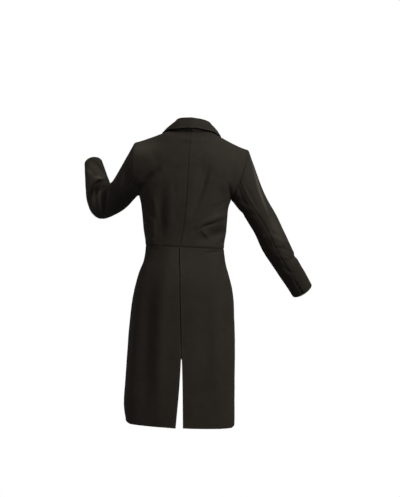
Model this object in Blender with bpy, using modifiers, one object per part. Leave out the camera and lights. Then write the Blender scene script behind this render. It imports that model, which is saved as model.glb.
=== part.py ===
"""Tailcoat in its worn, hollow form, seen from behind in the reference view.

Metres, +Z up. The wearer faces -Y, the back of the coat faces +Y, and the
wearer's left arm, the bent one, is at +X. The origin lies at the middle of the
neck, level with the top of the shoulders.
"""
import bpy
import numpy as np

# Driving sizes
WALL = 0.002
SEAM_GAP = 0.0003
SLEEVE_SEAM_PULL = 0.0005
ROUND = 0.6
HALF_LEAN = 0.045
FRONT_ROUND = 0.8
FRONT_OVERLAP = 0.020
UNDER_STEP = 0.0046
BACK_COLUMNS = 12
NECK_COLUMNS = 4
FRONT_COLUMNS = 8
BODY_ROWS = 7
ARMHOLE_ROWS = 10
ELBOW_SEAM_ROW = 6
SKIRT_ROWS = 20
SLEEVE_RINGS = 26
WAIST_Z = -0.4405
UNDERARM_Z = -0.247
UNDERARM_MIDDLE = 0.023
HEM_Z = -1.1325

LEFT = 1
RIGHT = -1
SIDE_NAME = {LEFT: "left", RIGHT: "right"}

# Outline seen from behind: height, x of the left side, x of the right side, side's y, back's y, front's y
OUTLINE = np.array([
    (HEM_Z, 0.264, -0.171, -0.020, 0.134, -0.120),
    (-1.053, 0.2635, -0.171, -0.020, 0.136, -0.122),
    (-0.956, 0.256, -0.171, -0.020, 0.138, -0.125),
    (-0.796, 0.2445, -0.172, -0.018, 0.141, -0.130),
    (-0.714, 0.2365, -0.170, -0.016, 0.142, -0.133),
    (-0.647, 0.2275, -0.167, -0.014, 0.141, -0.135),
    (-0.585, 0.2145, -0.159, -0.012, 0.136, -0.136),
    (-0.538, 0.2005, -0.147, -0.010, 0.126, -0.134),
    (-0.503, 0.1865, -0.137, -0.008, 0.114, -0.131),
    (-0.475, 0.1805, -0.132, -0.008, 0.105, -0.128),
    (-0.4405, 0.1765, -0.128, -0.008, 0.099, -0.125),
    (-0.374, 0.1856, -0.1373, -0.006, 0.104, -0.129),
    (-0.3276, 0.1895, -0.1412, -0.005, 0.111, -0.132),
    (-0.277, 0.1954, -0.1466, -0.003, 0.118, -0.134),
    (-0.247, 0.2022, -0.1560, -0.002, 0.121, -0.134),
])

# Centre back line from the hem to the shoulders: height, x
CENTRE_BACK = np.array([
    (HEM_Z, 0.0435),
    (-0.956, 0.0370),
    (-0.796, 0.0360),
    (-0.647, 0.0390),
    (-0.538, 0.0405),
    (-0.4405, 0.0421),
    (-0.374, 0.0300),
    (-0.3276, 0.0249),
    (-0.277, 0.0199),
    (-0.247, 0.0166),
])

# Half the opening of the vent: height, half gap towards the left, towards the right
VENT = np.array([
    (HEM_Z, 0.0150, 0.0140),
    (-1.010, 0.0085, 0.0080),
    (-0.900, 0.0035, 0.0035),
    (-0.830, 0.0010, 0.0010),
    (-0.780, 0.0006, 0.0006),
    (-0.4405, 0.0006, 0.0006),
])

# Front edge of the skirt: height, how far round it lies on the left and on the right (0 back, 1 side, 2 front)
FRONT_CUT = np.array([
    (HEM_Z, 0.66, 0.76),
    (-1.127, 0.75, 0.88),
    (-1.110, 0.81, 0.97),
    (-1.085, 0.88, 1.04),
    (-1.050, 0.97, 1.10),
    (-1.000, 1.06, 1.15),
    (-0.930, 1.12, 1.20),
    (-0.820, 1.20, 1.27),
    (-0.700, 1.34, 1.40),
    (-0.600, 1.54, 1.58),
    (-0.520, 1.76, 1.78),
    (-0.475, 1.90, 1.91),
    (-0.4405, 2.0, 2.0),
])

# Upper back: level (1 underarm, 2 shoulder seam), centre back x, y, z,
# then the handles of the row at the centre back and at the armhole
UPPER_BACK = np.array([
    (1.33, 0.012, 0.124, -0.155, 0.080, 0.002, 0.000, -0.045, 0.040, 0.000),
    (1.66, 0.006, 0.109, -0.062, 0.075, -0.004, -0.002, -0.052, 0.028, 0.006),
    (1.86, -0.002, 0.064, 0.028, 0.072, -0.006, -0.008, -0.070, 0.012, 0.012),
])

# Shoulder seam, from a point over the neck to the shoulder tip: x, y, z of its four control points
SHOULDER = {
    LEFT: np.array([
        (-0.002, 0.010, 0.048), (0.085, 0.004, 0.012), (0.135, -0.004, -0.008), (0.220, -0.010, -0.034)]),
    RIGHT: np.array([
        (-0.002, 0.010, 0.048), (-0.090, 0.004, 0.008), (-0.140, -0.004, -0.033), (-0.2246, -0.010, -0.0635)]),
}
NECK_LEVEL = 1.86

# Front edge: level (0 waist, 1 underarm), distance from the middle of the coat, y, height
FRONT_EDGE = np.array([
    (0.00, -FRONT_OVERLAP, -0.125, WAIST_Z),
    (0.16, -0.013, -0.1275, -0.409),
    (0.36, 0.006, -0.131, -0.370),
    (0.60, 0.014, -0.133, -0.324),
    (1.00, 0.028, -0.133, UNDERARM_Z),
    (1.33, 0.045, -0.120, -0.150),
    (1.66, 0.063, -0.084, -0.058),
])

# Upper front: level, handle of the row at the armhole, handle at the front edge (x outwards, y, z)
UPPER_FRONT = np.array([
    (1.33, -0.025, -0.045, 0.000, 0.055, -0.004, 0.000),
    (1.66, -0.045, -0.016, 0.005, 0.050, -0.008, -0.002),
])

# Armhole: shoulder tip, underarm point, then depth and hollow at mid height, behind and ahead
ARMHOLE = {
    LEFT: {"tip": SHOULDER[LEFT][3], "under": (0.2022, -0.002, -0.240),
           "behind": (0.068, -0.016), "ahead": (0.080, 0.014)},
    RIGHT: {"tip": SHOULDER[RIGHT][3], "under": (-0.1560, -0.002, -0.257),
            "behind": (0.074, -0.010), "ahead": (0.080, 0.006)},
}

# Rings of the sleeves: centre x, y, z, outward direction x, y, z,
# then the radius outwards, towards the elbow and towards the crook
SLEEVE_TABLE = {
    LEFT: np.array([
        (0.254, -0.045, -0.203, 0.50, 0.10, 0.85, 0.057, 0.062, 0.048),
        (0.291, -0.090, -0.237, 0.75, 0.35, 0.55, 0.058, 0.059, 0.052),
        (0.327, -0.133, -0.261, 0.81, 0.47, 0.36, 0.056, 0.056, 0.045),
        (0.351, -0.170, -0.268, 0.81, 0.47, 0.36, 0.051, 0.061, 0.039),
        (0.366, -0.212, -0.248, 0.81, 0.47, 0.36, 0.054, 0.057, 0.041),
        (0.377, -0.258, -0.202, 0.81, 0.47, 0.36, 0.055, 0.050, 0.046),
        (0.391, -0.310, -0.149, 0.81, 0.47, 0.36, 0.047, 0.044, 0.042),
        (0.405, -0.360, -0.095, 0.81, 0.47, 0.36, 0.038, 0.037, 0.037),
    ]),
    RIGHT: np.array([
        (-0.229, -0.010, -0.251, -0.95, -0.15, 0.35, 0.061, 0.062, 0.062),
        (-0.285, -0.020, -0.341, -0.90, -0.20, 0.45, 0.0545, 0.056, 0.054),
        (-0.329, -0.045, -0.430, -0.85, -0.20, 0.50, 0.0545, 0.055, 0.050),
        (-0.3775, -0.090, -0.511, -0.85, -0.20, 0.50, 0.049, 0.050, 0.046),
        (-0.412, -0.122, -0.564, -0.85, -0.20, 0.50, 0.047, 0.043, 0.042),
        (-0.443, -0.150, -0.613, -0.85, -0.20, 0.50, 0.045, 0.037, 0.037),
    ]),
}

# Folds of the body: piece, x and z of one end, x and z of the other, width, depth (troughs below zero)
BODY_FOLDS = [
    ("back", 0.185, -0.200, 0.146, -0.150, 0.016, -0.005),
    ("back", 0.118, -0.220, 0.108, -0.425, 0.018, -0.004),
    ("back", 0.168, -0.262, 0.146, -0.328, 0.013, -0.005),
    ("back", 0.160, -0.330, 0.172, -0.395, 0.014, -0.003),
    ("back", -0.136, -0.331, -0.030, -0.372, 0.011, -0.006),
    ("back", -0.040, -0.372, -0.098, -0.420, 0.012, 0.004),
    ("back", -0.130, -0.415, -0.108, -0.434, 0.010, -0.004),
    ("back", -0.055, -0.148, -0.012, -0.290, 0.020, -0.003),
    ("front", 0.150, -0.330, 0.078, -0.385, 0.013, -0.004),
    ("front", -0.110, -0.340, -0.020, -0.405, 0.013, -0.004),
    ("skirt", -0.072, -0.448, -0.078, -0.500, 0.016, -0.005),
    ("skirt", -0.118, -0.560, -0.122, -1.120, 0.020, 0.005),
    ("skirt", -0.070, -0.600, -0.066, -1.120, 0.024, -0.005),
    ("skirt", -0.150, -0.620, -0.152, -1.100, 0.014, -0.004),
    ("skirt", 0.110, -0.560, 0.118, -1.120, 0.026, -0.006),
    ("skirt", 0.165, -0.560, 0.185, -1.120, 0.022, 0.005),
    ("skirt", 0.225, -0.640, 0.240, -1.080, 0.016, -0.005),
]

# Folds of the sleeves: place along (0 armhole, 1 cuff) and round (turns, 0 outer side, 0.25 elbow,
# 0.75 crook) of each end, width along in metres, depth
SLEEVE_FOLDS = {
    LEFT: [
        (0.56, 0.68, 0.60, 0.93, 0.014, -0.010),
        (0.64, 0.70, 0.70, 0.95, 0.012, -0.006),
        (0.50, 0.80, 0.44, 1.04, 0.014, -0.006),
        (0.53, 0.04, 0.70, 0.98, 0.012, 0.004),
        (0.36, 0.60, 0.30, 0.90, 0.016, -0.005),
        (0.84, 0.80, 0.80, 1.06, 0.012, -0.003),
    ],
    RIGHT: [
        (0.735, -0.02, 0.69, 0.24, 0.011, -0.007),
        (0.60, 0.10, 0.585, 0.24, 0.014, -0.005),
        (0.50, 0.30, 0.56, 0.52, 0.014, -0.005),
        (0.56, 0.62, 0.60, 0.88, 0.013, -0.007),
        (0.66, 0.60, 0.70, 0.85, 0.012, -0.005),
        (0.30, 0.40, 0.24, 0.62, 0.016, -0.004),
    ],
}

# Fold line of the collar: place (0 centre back, 0.5 shoulder, 1 gorge), x, y, z on the left, then on the right
COLLAR_FOLD = np.array([
    (0.00, -0.002, 0.058, 0.060, -0.002, 0.058, 0.060),
    (0.25, 0.037, 0.042, 0.059, -0.045, 0.042, 0.053),
    (0.50, 0.054, -0.004, 0.051, -0.070, -0.004, 0.043),
    (1.00, 0.057, -0.070, -0.014, -0.059, -0.070, -0.022),
])

# Outer edge of the collar as it lies on the back and on the forepart: place, level, way round, lift
COLLAR_EDGE_BACK = np.array([
    (0.00, 1.82, 0.00, 0.012),
    (0.25, 1.86, 0.30, 0.010),
    (0.50, 2.00, 0.495, 0.005),
])
COLLAR_EDGE_FRONT = np.array([
    (0.50, 2.00, 0.747, 0.005),
    (0.75, 1.88, 0.62, 0.006),
    (1.00, 1.78, 0.56, 0.006),
])
GORGE_COLUMNS = 3
COLLAR_TURN = 0.0045

# Lapel: level, width as a share of the forepart's row
LAPEL = np.array([
    (0.30, 0.03),
    (0.60, 0.20),
    (1.00, 0.36),
    (1.40, 0.52),
    (1.66, 0.62),
])
LAPEL_PEAK = 0.10
LAPEL_LIFT = 0.0015
LAPEL_ROWS = 14
LAPEL_COLUMNS = 5

# Buttons: radii, places along the sleeve and thickness
WAIST_BUTTON_RADIUS = 0.011
SLEEVE_BUTTON_RADIUS = 0.0075
SLEEVE_BUTTON_PLACES = (0.885, 0.925, 0.965)
BUTTON_THICKNESS = 0.003


def smooth(knots, rows, at):
    """Read a smooth curve through the rows of a table, one cubic piece between neighbouring rows."""
    knots = np.asarray(knots, float)
    rows = np.asarray(rows, float)
    at = np.clip(np.asarray(at, float), knots[0], knots[-1])
    slopes = np.gradient(rows, knots, axis=0)
    i = np.clip(np.searchsorted(knots, at, side="right") - 1, 0, len(knots) - 2)
    span = knots[i + 1] - knots[i]
    t = (at - knots[i]) / span
    if rows.ndim > 1:
        extra = (1,) * (rows.ndim - 1)
        t = t.reshape(t.shape + extra)
        span = span.reshape(span.shape + extra)
    start = (1 + 2 * t) * (1 - t) ** 2 * rows[i] + t * (1 - t) ** 2 * span * slopes[i]
    end = t ** 2 * (3 - 2 * t) * rows[i + 1] + t ** 2 * (t - 1) * span * slopes[i + 1]
    return start + end


def arc(control, u):
    """Point at u (0 to 1) of a cubic arc; control holds its four points on the axis before the last."""
    u = np.asarray(u, float)[..., None]
    weights = ((1 - u) ** 3, 3 * (1 - u) ** 2 * u, 3 * (1 - u) * u ** 2, u ** 3)
    return sum(weight * control[..., k, :] for k, weight in enumerate(weights))


def unit(vectors):
    return vectors / np.maximum(np.linalg.norm(vectors, axis=-1, keepdims=True), 1e-12)


def normals_of(grid):
    """Unit normals of a grid of points, from the slopes along its rows and columns."""
    along = np.gradient(grid, axis=1)
    down = np.gradient(grid, axis=0)
    return unit(np.cross(along, down))


def lean(points, centre_x):
    """The coat's left side rides a little higher than its right one."""
    points = points.copy()
    points[..., 2] += HALF_LEAN * (points[..., 0] - centre_x)
    return points


def armhole(side, turn):
    """Points of the armhole; turn 0 is the shoulder tip, 0.25 the back, 0.5 the underarm."""
    size = ARMHOLE[side]
    tip = np.asarray(size["tip"])
    under = np.asarray(size["under"])
    angle = 2 * np.pi * np.asarray(turn)[..., None]
    depth, hollow = np.where(np.sin(angle) > 0, size["behind"], size["ahead"]).T[..., None]
    ring = (tip + under) / 2 + np.cos(angle) * (tip - under) / 2
    ring = ring + np.sin(angle) * depth * np.array((0, 1, 0))
    return ring - np.sin(angle) ** 2 * hollow * np.array((side, 0, 0))


def armhole_mitre(side, turn):
    """Direction halfway between the body's and the sleeve's faces at the armhole seam."""
    ring = armhole(side, turn)
    size = ARMHOLE[side]
    centre = (np.asarray(size["tip"]) + np.asarray(size["under"])) / 2
    return unit(unit(ring - centre) + 0.8 * np.array((side, 0, 0)))


def quarter_ring(z, side, mid_x, mid_y, fullness):
    """Control points of a quarter of the body's ring at height z, from its middle to its side."""
    sizes = smooth(OUTLINE[:, 0], OUTLINE[:, 1:], z)
    side_x = sizes[..., 0] if side == LEFT else sizes[..., 1]
    side_y = sizes[..., 2]
    centre = np.stack([mid_x, mid_y, z], -1)
    near = np.stack([mid_x + fullness * (side_x - mid_x), mid_y, z], -1)
    far = np.stack([side_x, side_y + ROUND * (mid_y - side_y), z], -1)
    edge = np.stack([side_x, side_y, z], -1)
    back_x = smooth(CENTRE_BACK[:, 0], CENTRE_BACK[:, 1], z)
    return lean(np.stack([centre, near, far, edge], -2), back_x[..., None])


def back_quarter(z, side):
    """Back quarter of the ring, from the centre back to the side."""
    z = np.asarray(z, float)
    back_x = smooth(CENTRE_BACK[:, 0], CENTRE_BACK[:, 1], z)
    back_y = smooth(OUTLINE[:, 0], OUTLINE[:, 4], z)
    return quarter_ring(z, side, back_x, back_y, ROUND)


def front_quarter(z, side, out, front_y):
    """Front quarter of the ring, from the side to the front edge; out is the edge's way from the middle."""
    z = np.asarray(z, float)
    middle = smooth(OUTLINE[:, 0], OUTLINE[:, 1:3], z).mean(-1)
    ring = quarter_ring(z, side, middle + side * out, np.asarray(front_y, float), FRONT_ROUND)
    return ring[..., ::-1, :]


def back_controls(side):
    """Rows of control points of the back, from the waist (0) over the underarm (1) to the shoulder (2)."""
    levels = [0, 0.3, 0.6, 0.85, 1.0]
    heights = [WAIST_Z + (UNDERARM_Z - WAIST_Z) * level for level in levels]
    rows = list(back_quarter(heights, side))
    rows[-1][3] = ARMHOLE[side]["under"]
    for level, x, y, z, near_x, near_y, near_z, far_x, far_y, far_z in UPPER_BACK:
        centre = np.array((x, y, z))
        edge = armhole(side, 0.5 * (2 - level))
        near = centre + np.array((side * near_x, near_y, near_z))
        far = edge + np.array((side * far_x, far_y, far_z))
        rows.append(np.stack([centre, near, far, edge]))
        levels.append(level)
    rows.append(SHOULDER[side])
    levels.append(2.0)
    return np.array(levels), np.array(rows)


def shoulder_half(side):
    """Control points of the shoulder seam alone, from the tip to the neck, cut from the longer arc."""
    start = NECK_COLUMNS / BACK_COLUMNS
    a, b, c, d = SHOULDER[side]
    ab, bc, cd = a + (b - a) * start, b + (c - b) * start, c + (d - c) * start
    abc, bcd = ab + (bc - ab) * start, bc + (cd - bc) * start
    neck = abc + (bcd - abc) * start
    return np.stack([d, cd, bcd, neck])


def front_controls(side):
    """Rows of control points of the forepart, each from the side seam or armhole to the front edge."""
    shoulder = shoulder_half(side)
    levels, rows = [], []
    for level, out, y, z in FRONT_EDGE:
        step_in = UNDER_STEP * np.clip((0.9 - level) / 0.5, 0, 1) if side == RIGHT else 0
        if level <= 1:
            row = front_quarter(z, side, out, y + step_in)
        else:
            far_x, far_y, far_z, near_x, near_y, near_z = UPPER_FRONT[UPPER_FRONT[:, 0] == level][0, 1:]
            edge = armhole(side, 1 - 0.5 * (2 - level))
            front = np.array((UNDERARM_MIDDLE * (2 - level) + side * out, y, z))
            far = edge + np.array((side * far_x, far_y, far_z))
            near = front + np.array((side * near_x, near_y, near_z))
            row = np.stack([edge, far, near, front])
        if level == 1:
            row[0] = ARMHOLE[side]["under"]
            row[1] = row[0] + np.array((-0.032 * side, -0.048, 0))
        levels.append(level)
        rows.append(row)
    levels.append(2.0)
    rows.append(shoulder)
    return np.array(levels), np.array(rows)


def body_levels():
    """Levels of the body's rows: even to the underarm, then the armhole's even turns."""
    lower = np.linspace(0, 1, BODY_ROWS + 1)[:-1]
    upper = np.linspace(1, 2, ARMHOLE_ROWS + 1)
    return np.concatenate([lower, upper])


def side_seam(side):
    """Points of the side seam and underarm, one for each of the body's rows up to the underarm."""
    heights = WAIST_Z + (UNDERARM_Z - WAIST_Z) * np.linspace(0, 1, BODY_ROWS + 1)
    line = back_quarter(heights, side)[:, 3]
    line[-1] = ARMHOLE[side]["under"]
    return line


def back_points(side, level, u):
    """Points of the back; u runs from the centre back (0) to the side seam and armhole (1)."""
    levels, rows = back_controls(side)
    return arc(smooth(levels, rows, level), u)


def back_grid(side):
    """Points of the back: rows from the waist up, columns from the centre back to the side and armhole."""
    level, u = np.meshgrid(body_levels(), np.linspace(0, 1, BACK_COLUMNS + 1), indexing="ij")
    neck_u = NECK_COLUMNS / BACK_COLUMNS
    across = np.clip(u / neck_u, 0, 1)
    top = NECK_LEVEL + (2 - NECK_LEVEL) * (1 - np.sqrt(1 - across ** 2))
    level = np.where(level > 1, 1 + (level - 1) * (top - 1), level)
    grid = back_points(side, level, u)
    armhole_turn = 0.5 * (2 - np.linspace(1, 2, ARMHOLE_ROWS + 1))
    grid[BODY_ROWS:, -1] = armhole(side, armhole_turn)
    grid[:BODY_ROWS + 1, -1] = side_seam(side)
    return grid


def front_points(side, level, u):
    """Points of the forepart; u runs from the side seam and armhole (0) to the front edge (1)."""
    levels, rows = front_controls(side)
    return arc(smooth(levels, rows, level), u)


def front_grid(side):
    level, u = np.meshgrid(body_levels(), np.linspace(0, 1, FRONT_COLUMNS + 1), indexing="ij")
    grid = front_points(side, level, u)
    armhole_turn = 1 - 0.5 * (2 - np.linspace(1, 2, ARMHOLE_ROWS + 1))
    grid[BODY_ROWS:, 0] = armhole(side, armhole_turn)
    grid[:BODY_ROWS + 1, 0] = side_seam(side)
    return grid


def skirt_grid(side):
    """Points of a skirt: rows from the waist down, columns from the vent round to the cut-away front edge."""
    share = np.linspace(0, 1, SKIRT_ROWS + 1)
    heights = WAIST_Z + (HEM_Z - WAIST_Z) * (1 - (1 - share) ** 1.35)
    back_u = np.linspace(0, 1, BACK_COLUMNS + 1)
    front_u = np.linspace(1, 2, FRONT_COLUMNS + 1)[1:]
    z, u = np.meshgrid(heights, np.concatenate([back_u, front_u]), indexing="ij")
    column = 1 if side == LEFT else 2
    u = u * smooth(FRONT_CUT[:, 0], FRONT_CUT[:, column], z) / 2
    half_gap = smooth(VENT[:, 0], VENT[:, column], z)
    overlap = np.clip((z - WAIST_Z + 0.12) / 0.12, 0, 1) ** 2
    front_y = smooth(OUTLINE[:, 0], OUTLINE[:, 5], z)
    if side == RIGHT:
        front_y = front_y + UNDER_STEP * overlap
    back = back_quarter(z, side)
    front = front_quarter(z, side, -FRONT_OVERLAP * overlap, front_y)
    grid = np.where((u <= 1)[..., None], arc(back, np.clip(u, 0, 1)), arc(front, np.clip(u - 1, 0, 1)))
    near_vent = np.exp(-(u / 0.10) ** 2)
    grid[..., 0] += side * half_gap * near_vent
    return grid


def seam_fade(grid, free_edges):
    """Share of a fold that is left near the seams: none on a seam, all of it 4 cm away."""
    rows, columns = grid.shape[:2]
    fade = np.ones((rows, columns))
    lines = {"first_row": grid[:1], "last_row": grid[-1:], "first_column": grid[:, :1], "last_column": grid[:, -1:]}
    for edge, line in lines.items():
        if edge not in free_edges:
            away = np.linalg.norm(grid - line, axis=-1)
            fade *= np.clip(away / 0.04, 0, 1) ** 0.7
    return fade


def fold_grid(grid, normals, piece, free_edges):
    """Press the soft troughs and ridges of one piece, each a rounded line between two points."""
    moved = grid.copy()
    fade = seam_fade(grid, free_edges)
    for folded, x0, z0, x1, z1, width, depth in BODY_FOLDS:
        if folded != piece:
            continue
        start = np.array((x0, z0))
        run = np.array((x1, z1)) - start
        flat = grid[..., [0, 2]] - start
        share = np.clip((flat @ run) / (run @ run), 0, 1)
        away = np.linalg.norm(flat - share[..., None] * run, axis=-1)
        taper = 0.35 + 0.65 * np.sin(np.pi * share)
        moved += (depth * taper * fade * np.exp(-(away / width) ** 2))[..., None] * normals
    return moved


def sleeve_rings(side, turns):
    """Rings of a sleeve, one row each: the armhole first, then the table's flattened circles."""
    table = SLEEVE_TABLE[side]
    size = ARMHOLE[side]
    first = (np.asarray(size["tip"]) + np.asarray(size["under"])) / 2
    centres = np.vstack([first, table[:, :3]])
    length = np.concatenate([[0], np.cumsum(np.linalg.norm(np.diff(centres, axis=0), axis=1))])
    tangents = unit(np.gradient(centres, length, axis=0))[1:]
    outward = unit(table[:, 3:6] - np.sum(table[:, 3:6] * tangents, 1, keepdims=True) * tangents)
    elbow = np.cross(outward, tangents) * side
    angle = 2 * np.pi * turns
    rings = [armhole(side, turns)]
    for k in range(len(table)):
        out_radius, elbow_radius, crook_radius = table[k, 6:9]
        depth = np.where(np.sin(angle) > 0, elbow_radius, crook_radius)
        ring = table[k, :3] + (out_radius * np.cos(angle))[:, None] * outward[k]
        rings.append(ring + (depth * np.sin(angle))[:, None] * elbow[k])
    return length, np.array(rings)


def sleeve_grid(side, turns):
    """Points of the sleeve between two seams: rows from the armhole to the cuff, columns round the arm."""
    length, rings = sleeve_rings(side, turns)
    share = np.linspace(0, 1, SLEEVE_RINGS + 1)
    grid = smooth(length / length[-1], rings, share)
    normals = normals_of(grid) * -side
    moved = grid.copy()
    along = share[:, None] * length[-1]
    for place0, turn0, place1, turn1, width, depth in SLEEVE_FOLDS[side]:
        middle = (turn0 + turn1) / 2
        turn = (turns[None, :] - middle + 0.5) % 1 - 0.5
        reach = turn / (abs(turn1 - turn0) / 2)
        across = np.clip(reach * np.sign(turn1 - turn0), -1, 1)
        place = length[-1] * (place0 + (place1 - place0) * (across + 1) / 2)
        fade = np.exp(-np.clip(np.abs(reach) - 0.6, 0, None) ** 2 / 0.12)
        moved += (depth * fade * np.exp(-((along - place) / width) ** 2))[..., None] * normals
    return moved


def pull_in(grid, edges, distance=SEAM_GAP / 2):
    """Draw the named edges of a piece back from their seams."""
    grid = grid.copy()
    if "first_row" in edges:
        grid[0] += distance * unit(grid[1] - grid[0])
    if "last_row" in edges:
        grid[-1] += distance * unit(grid[-2] - grid[-1])
    if "first_column" in edges:
        grid[:, 0] += distance * unit(grid[:, 1] - grid[:, 0])
    if "last_column" in edges:
        grid[:, -1] += distance * unit(grid[:, -2] - grid[:, -1])
    return grid


def cloth_material():
    material = bpy.data.materials.new("black wool cloth")
    material.use_nodes = True
    shader = material.node_tree.nodes["Principled BSDF"]
    shader.inputs["Base Color"].default_value = (0.018, 0.016, 0.013, 1)
    shader.inputs["Roughness"].default_value = 0.85
    return material


def button_material():
    material = bpy.data.materials.new("dark button")
    material.use_nodes = True
    shader = material.node_tree.nodes["Principled BSDF"]
    shader.inputs["Base Color"].default_value = (0.012, 0.011, 0.010, 1)
    shader.inputs["Roughness"].default_value = 0.45
    return material


def cloth_wall(name, outer, normals, thickness=WALL):
    """Closed wall of cloth: the outer grid, the same grid moved in along its normals, and a rim.

    The normals are given, so that two pieces which meet at a seam share one mitre there.
    """
    rows, columns = outer.shape[:2]
    inner = outer - thickness * normals
    points = np.concatenate([outer.reshape(-1, 3), inner.reshape(-1, 3)])
    index = np.arange(rows * columns).reshape(rows, columns)
    quads = np.stack([index[:-1, :-1], index[:-1, 1:], index[1:, 1:], index[1:, :-1]], -1).reshape(-1, 4)
    border = np.concatenate([index[0], index[1:, -1], index[-1, -2::-1], index[-2:0:-1, 0]])
    ahead = np.roll(border, -1)
    count = rows * columns
    rim = np.stack([ahead, border, border + count, ahead + count], -1)
    faces = np.concatenate([quads, quads[:, ::-1] + count, rim])
    facing = np.cross(outer[0, 1] - outer[0, 0], outer[1, 0] - outer[0, 0]) @ normals[0, 0]
    if facing < 0:
        faces = faces[:, ::-1]
    mesh = bpy.data.meshes.new(name)
    mesh.from_pydata(points.tolist(), [], faces.tolist())
    mesh.update()
    wall = bpy.data.objects.new(name, mesh)
    coat.objects.link(wall)
    mesh.materials.append(WOOL)
    for polygon in mesh.polygons:
        polygon.use_smooth = True
    mesh.set_sharp_from_angle(angle=np.radians(40))
    return wall


def make_body(side):
    """Back and forepart of one side, with shared mitres at the armhole and the shoulder seam."""
    turns = np.linspace(0, 0.5, ARMHOLE_ROWS + 1)[::-1]
    seam = unit(SHOULDER[side][3] - SHOULDER[side][1])
    ridge = unit(np.cross(np.array((0, side, 0)), seam) * -1)
    ridge = ridge * np.sign(ridge[2])

    back = back_grid(side)
    face = normals_of(back) * -side
    back = fold_grid(back, face, "back", ("first_column",))
    face[:, 0, 0] = 0
    face[:BODY_ROWS, -1, 1] = 0
    face = unit(face)
    face[BODY_ROWS:, -1] = armhole_mitre(side, turns)
    face[-1, NECK_COLUMNS:-1] = ridge
    back = pull_in(back, ("first_row", "last_row", "first_column", "last_column"))
    cloth_wall("back_" + SIDE_NAME[side], back, face)

    front = front_grid(side)
    face = normals_of(front) * -side
    front = fold_grid(front, face, "front", ("last_column",))
    face[:BODY_ROWS, 0, 1] = 0
    face = unit(face)
    face[BODY_ROWS:, 0] = armhole_mitre(side, 1 - turns)
    face[-1, 1:] = ridge
    front = pull_in(front, ("first_row", "last_row", "first_column"))
    cloth_wall("front_" + SIDE_NAME[side], front, face)


def make_skirt(side):
    """Skirt of one side, hung from the waist seam, open at the vent, the hem and the cut-away front edge."""
    grid = skirt_grid(side)
    face = normals_of(grid) * side
    grid = fold_grid(grid, face, "skirt", ("last_row", "first_column", "last_column"))
    grid = pull_in(grid, ("first_row",))
    cloth_wall("skirt_" + SIDE_NAME[side], grid, face)


def make_sleeve(side):
    """Top sleeve and under sleeve, which meet at the elbow seam and at the inner seam."""
    step = 0.5 / ARMHOLE_ROWS
    top_turns = np.arange(-ELBOW_SEAM_ROW, ELBOW_SEAM_ROW + 1) * step
    under_turns = np.arange(ELBOW_SEAM_ROW, 2 * ARMHOLE_ROWS - ELBOW_SEAM_ROW + 1) * step
    for piece, turns in (("top", top_turns), ("under", under_turns)):
        wide = np.concatenate([[turns[0] - step], turns, [turns[-1] + step]])
        grid = sleeve_grid(side, wide)
        face = normals_of(grid) * -side
        grid, face = grid[:, 1:-1], face[:, 1:-1]
        face[0] = armhole_mitre(side, turns)
        grid = pull_in(grid, ("first_row", "first_column", "last_column"), SLEEVE_SEAM_PULL)
        cloth_wall("sleeve_" + SIDE_NAME[side] + "_" + piece, grid, face)


def make_lapel(side):
    """Lapel facing, laid on the forepart: the forepart's own points, moved out."""
    levels = np.linspace(LAPEL[0, 0], LAPEL[-1, 0], LAPEL_ROWS + 1)
    width = smooth(LAPEL[:, 0], LAPEL[:, 1], levels)
    level, across = np.meshgrid(levels, np.linspace(0, 1, LAPEL_COLUMNS + 1), indexing="ij")
    rise = np.linspace(0, 1, LAPEL_ROWS + 1)[:, None] ** 6
    level = level + LAPEL_PEAK * across ** 2 * rise
    under = front_points(side, level, 1 - across * width[:, None])
    face = normals_of(under) * side
    lift = WALL + LAPEL_LIFT + 0.003 * np.exp(-across / 0.25) + 0.003 * rise * across
    cloth_wall("lapel_" + SIDE_NAME[side], under + lift[..., None] * face, face)


def neckline(side):
    """Inner corner of the neck edge from the centre back down to the gorge, the way past it, and its face."""
    back = back_grid(side)
    face_back = (normals_of(back)[-1] * -side)[:NECK_COLUMNS + 1]
    behind = back[-1, :NECK_COLUMNS + 1] - WALL * face_back
    past_back = unit(back[-1] - back[-2])[:NECK_COLUMNS + 1]
    front = front_grid(side)
    gorge = slice(-2, -2 - GORGE_COLUMNS, -1)
    face_front = (normals_of(front)[:, -1] * -side)[gorge]
    ahead = front[gorge, -1] - WALL * face_front
    past_front = unit(front[:, -1] - front[:, -2])[gorge]
    past_back[-1] = unit(past_back[-1] + past_front[0])
    corner = np.concatenate([behind, ahead])
    return corner, np.concatenate([past_back, past_front]), np.concatenate([face_back, face_front])


def lifted(points, side, place, table):
    """Points of a body surface read from a table of places, moved out by the table's lift."""
    level, u, lift = smooth(table[:, 0], table[:, 1:], place).T
    step = 0.02
    patch = points(side, level[None] + np.array((-step, 0))[:, None], u[None])
    beside = points(side, level, u + step)
    face = unit(np.cross(patch[1] - patch[0], beside - patch[1]))
    return patch[1] + lift[:, None] * face


def collar_lines(side):
    """Fold line and outer edge of one half of the collar, from the centre back to the gorge."""
    behind = np.linspace(0, 0.5, NECK_COLUMNS + 1)
    ahead = np.linspace(0.5, 1, GORGE_COLUMNS + 1)[1:]
    place = np.concatenate([behind, ahead])
    columns = slice(1, 4) if side == LEFT else slice(4, 7)
    fold = smooth(COLLAR_FOLD[:, 0], COLLAR_FOLD[:, columns], place)
    back = lifted(back_points, side, behind, COLLAR_EDGE_BACK * np.array((1, 1, 1, side)))
    front = lifted(front_points, side, ahead, COLLAR_EDGE_FRONT * np.array((1, 1, 1, side)))
    return fold, np.concatenate([back, front])


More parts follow.
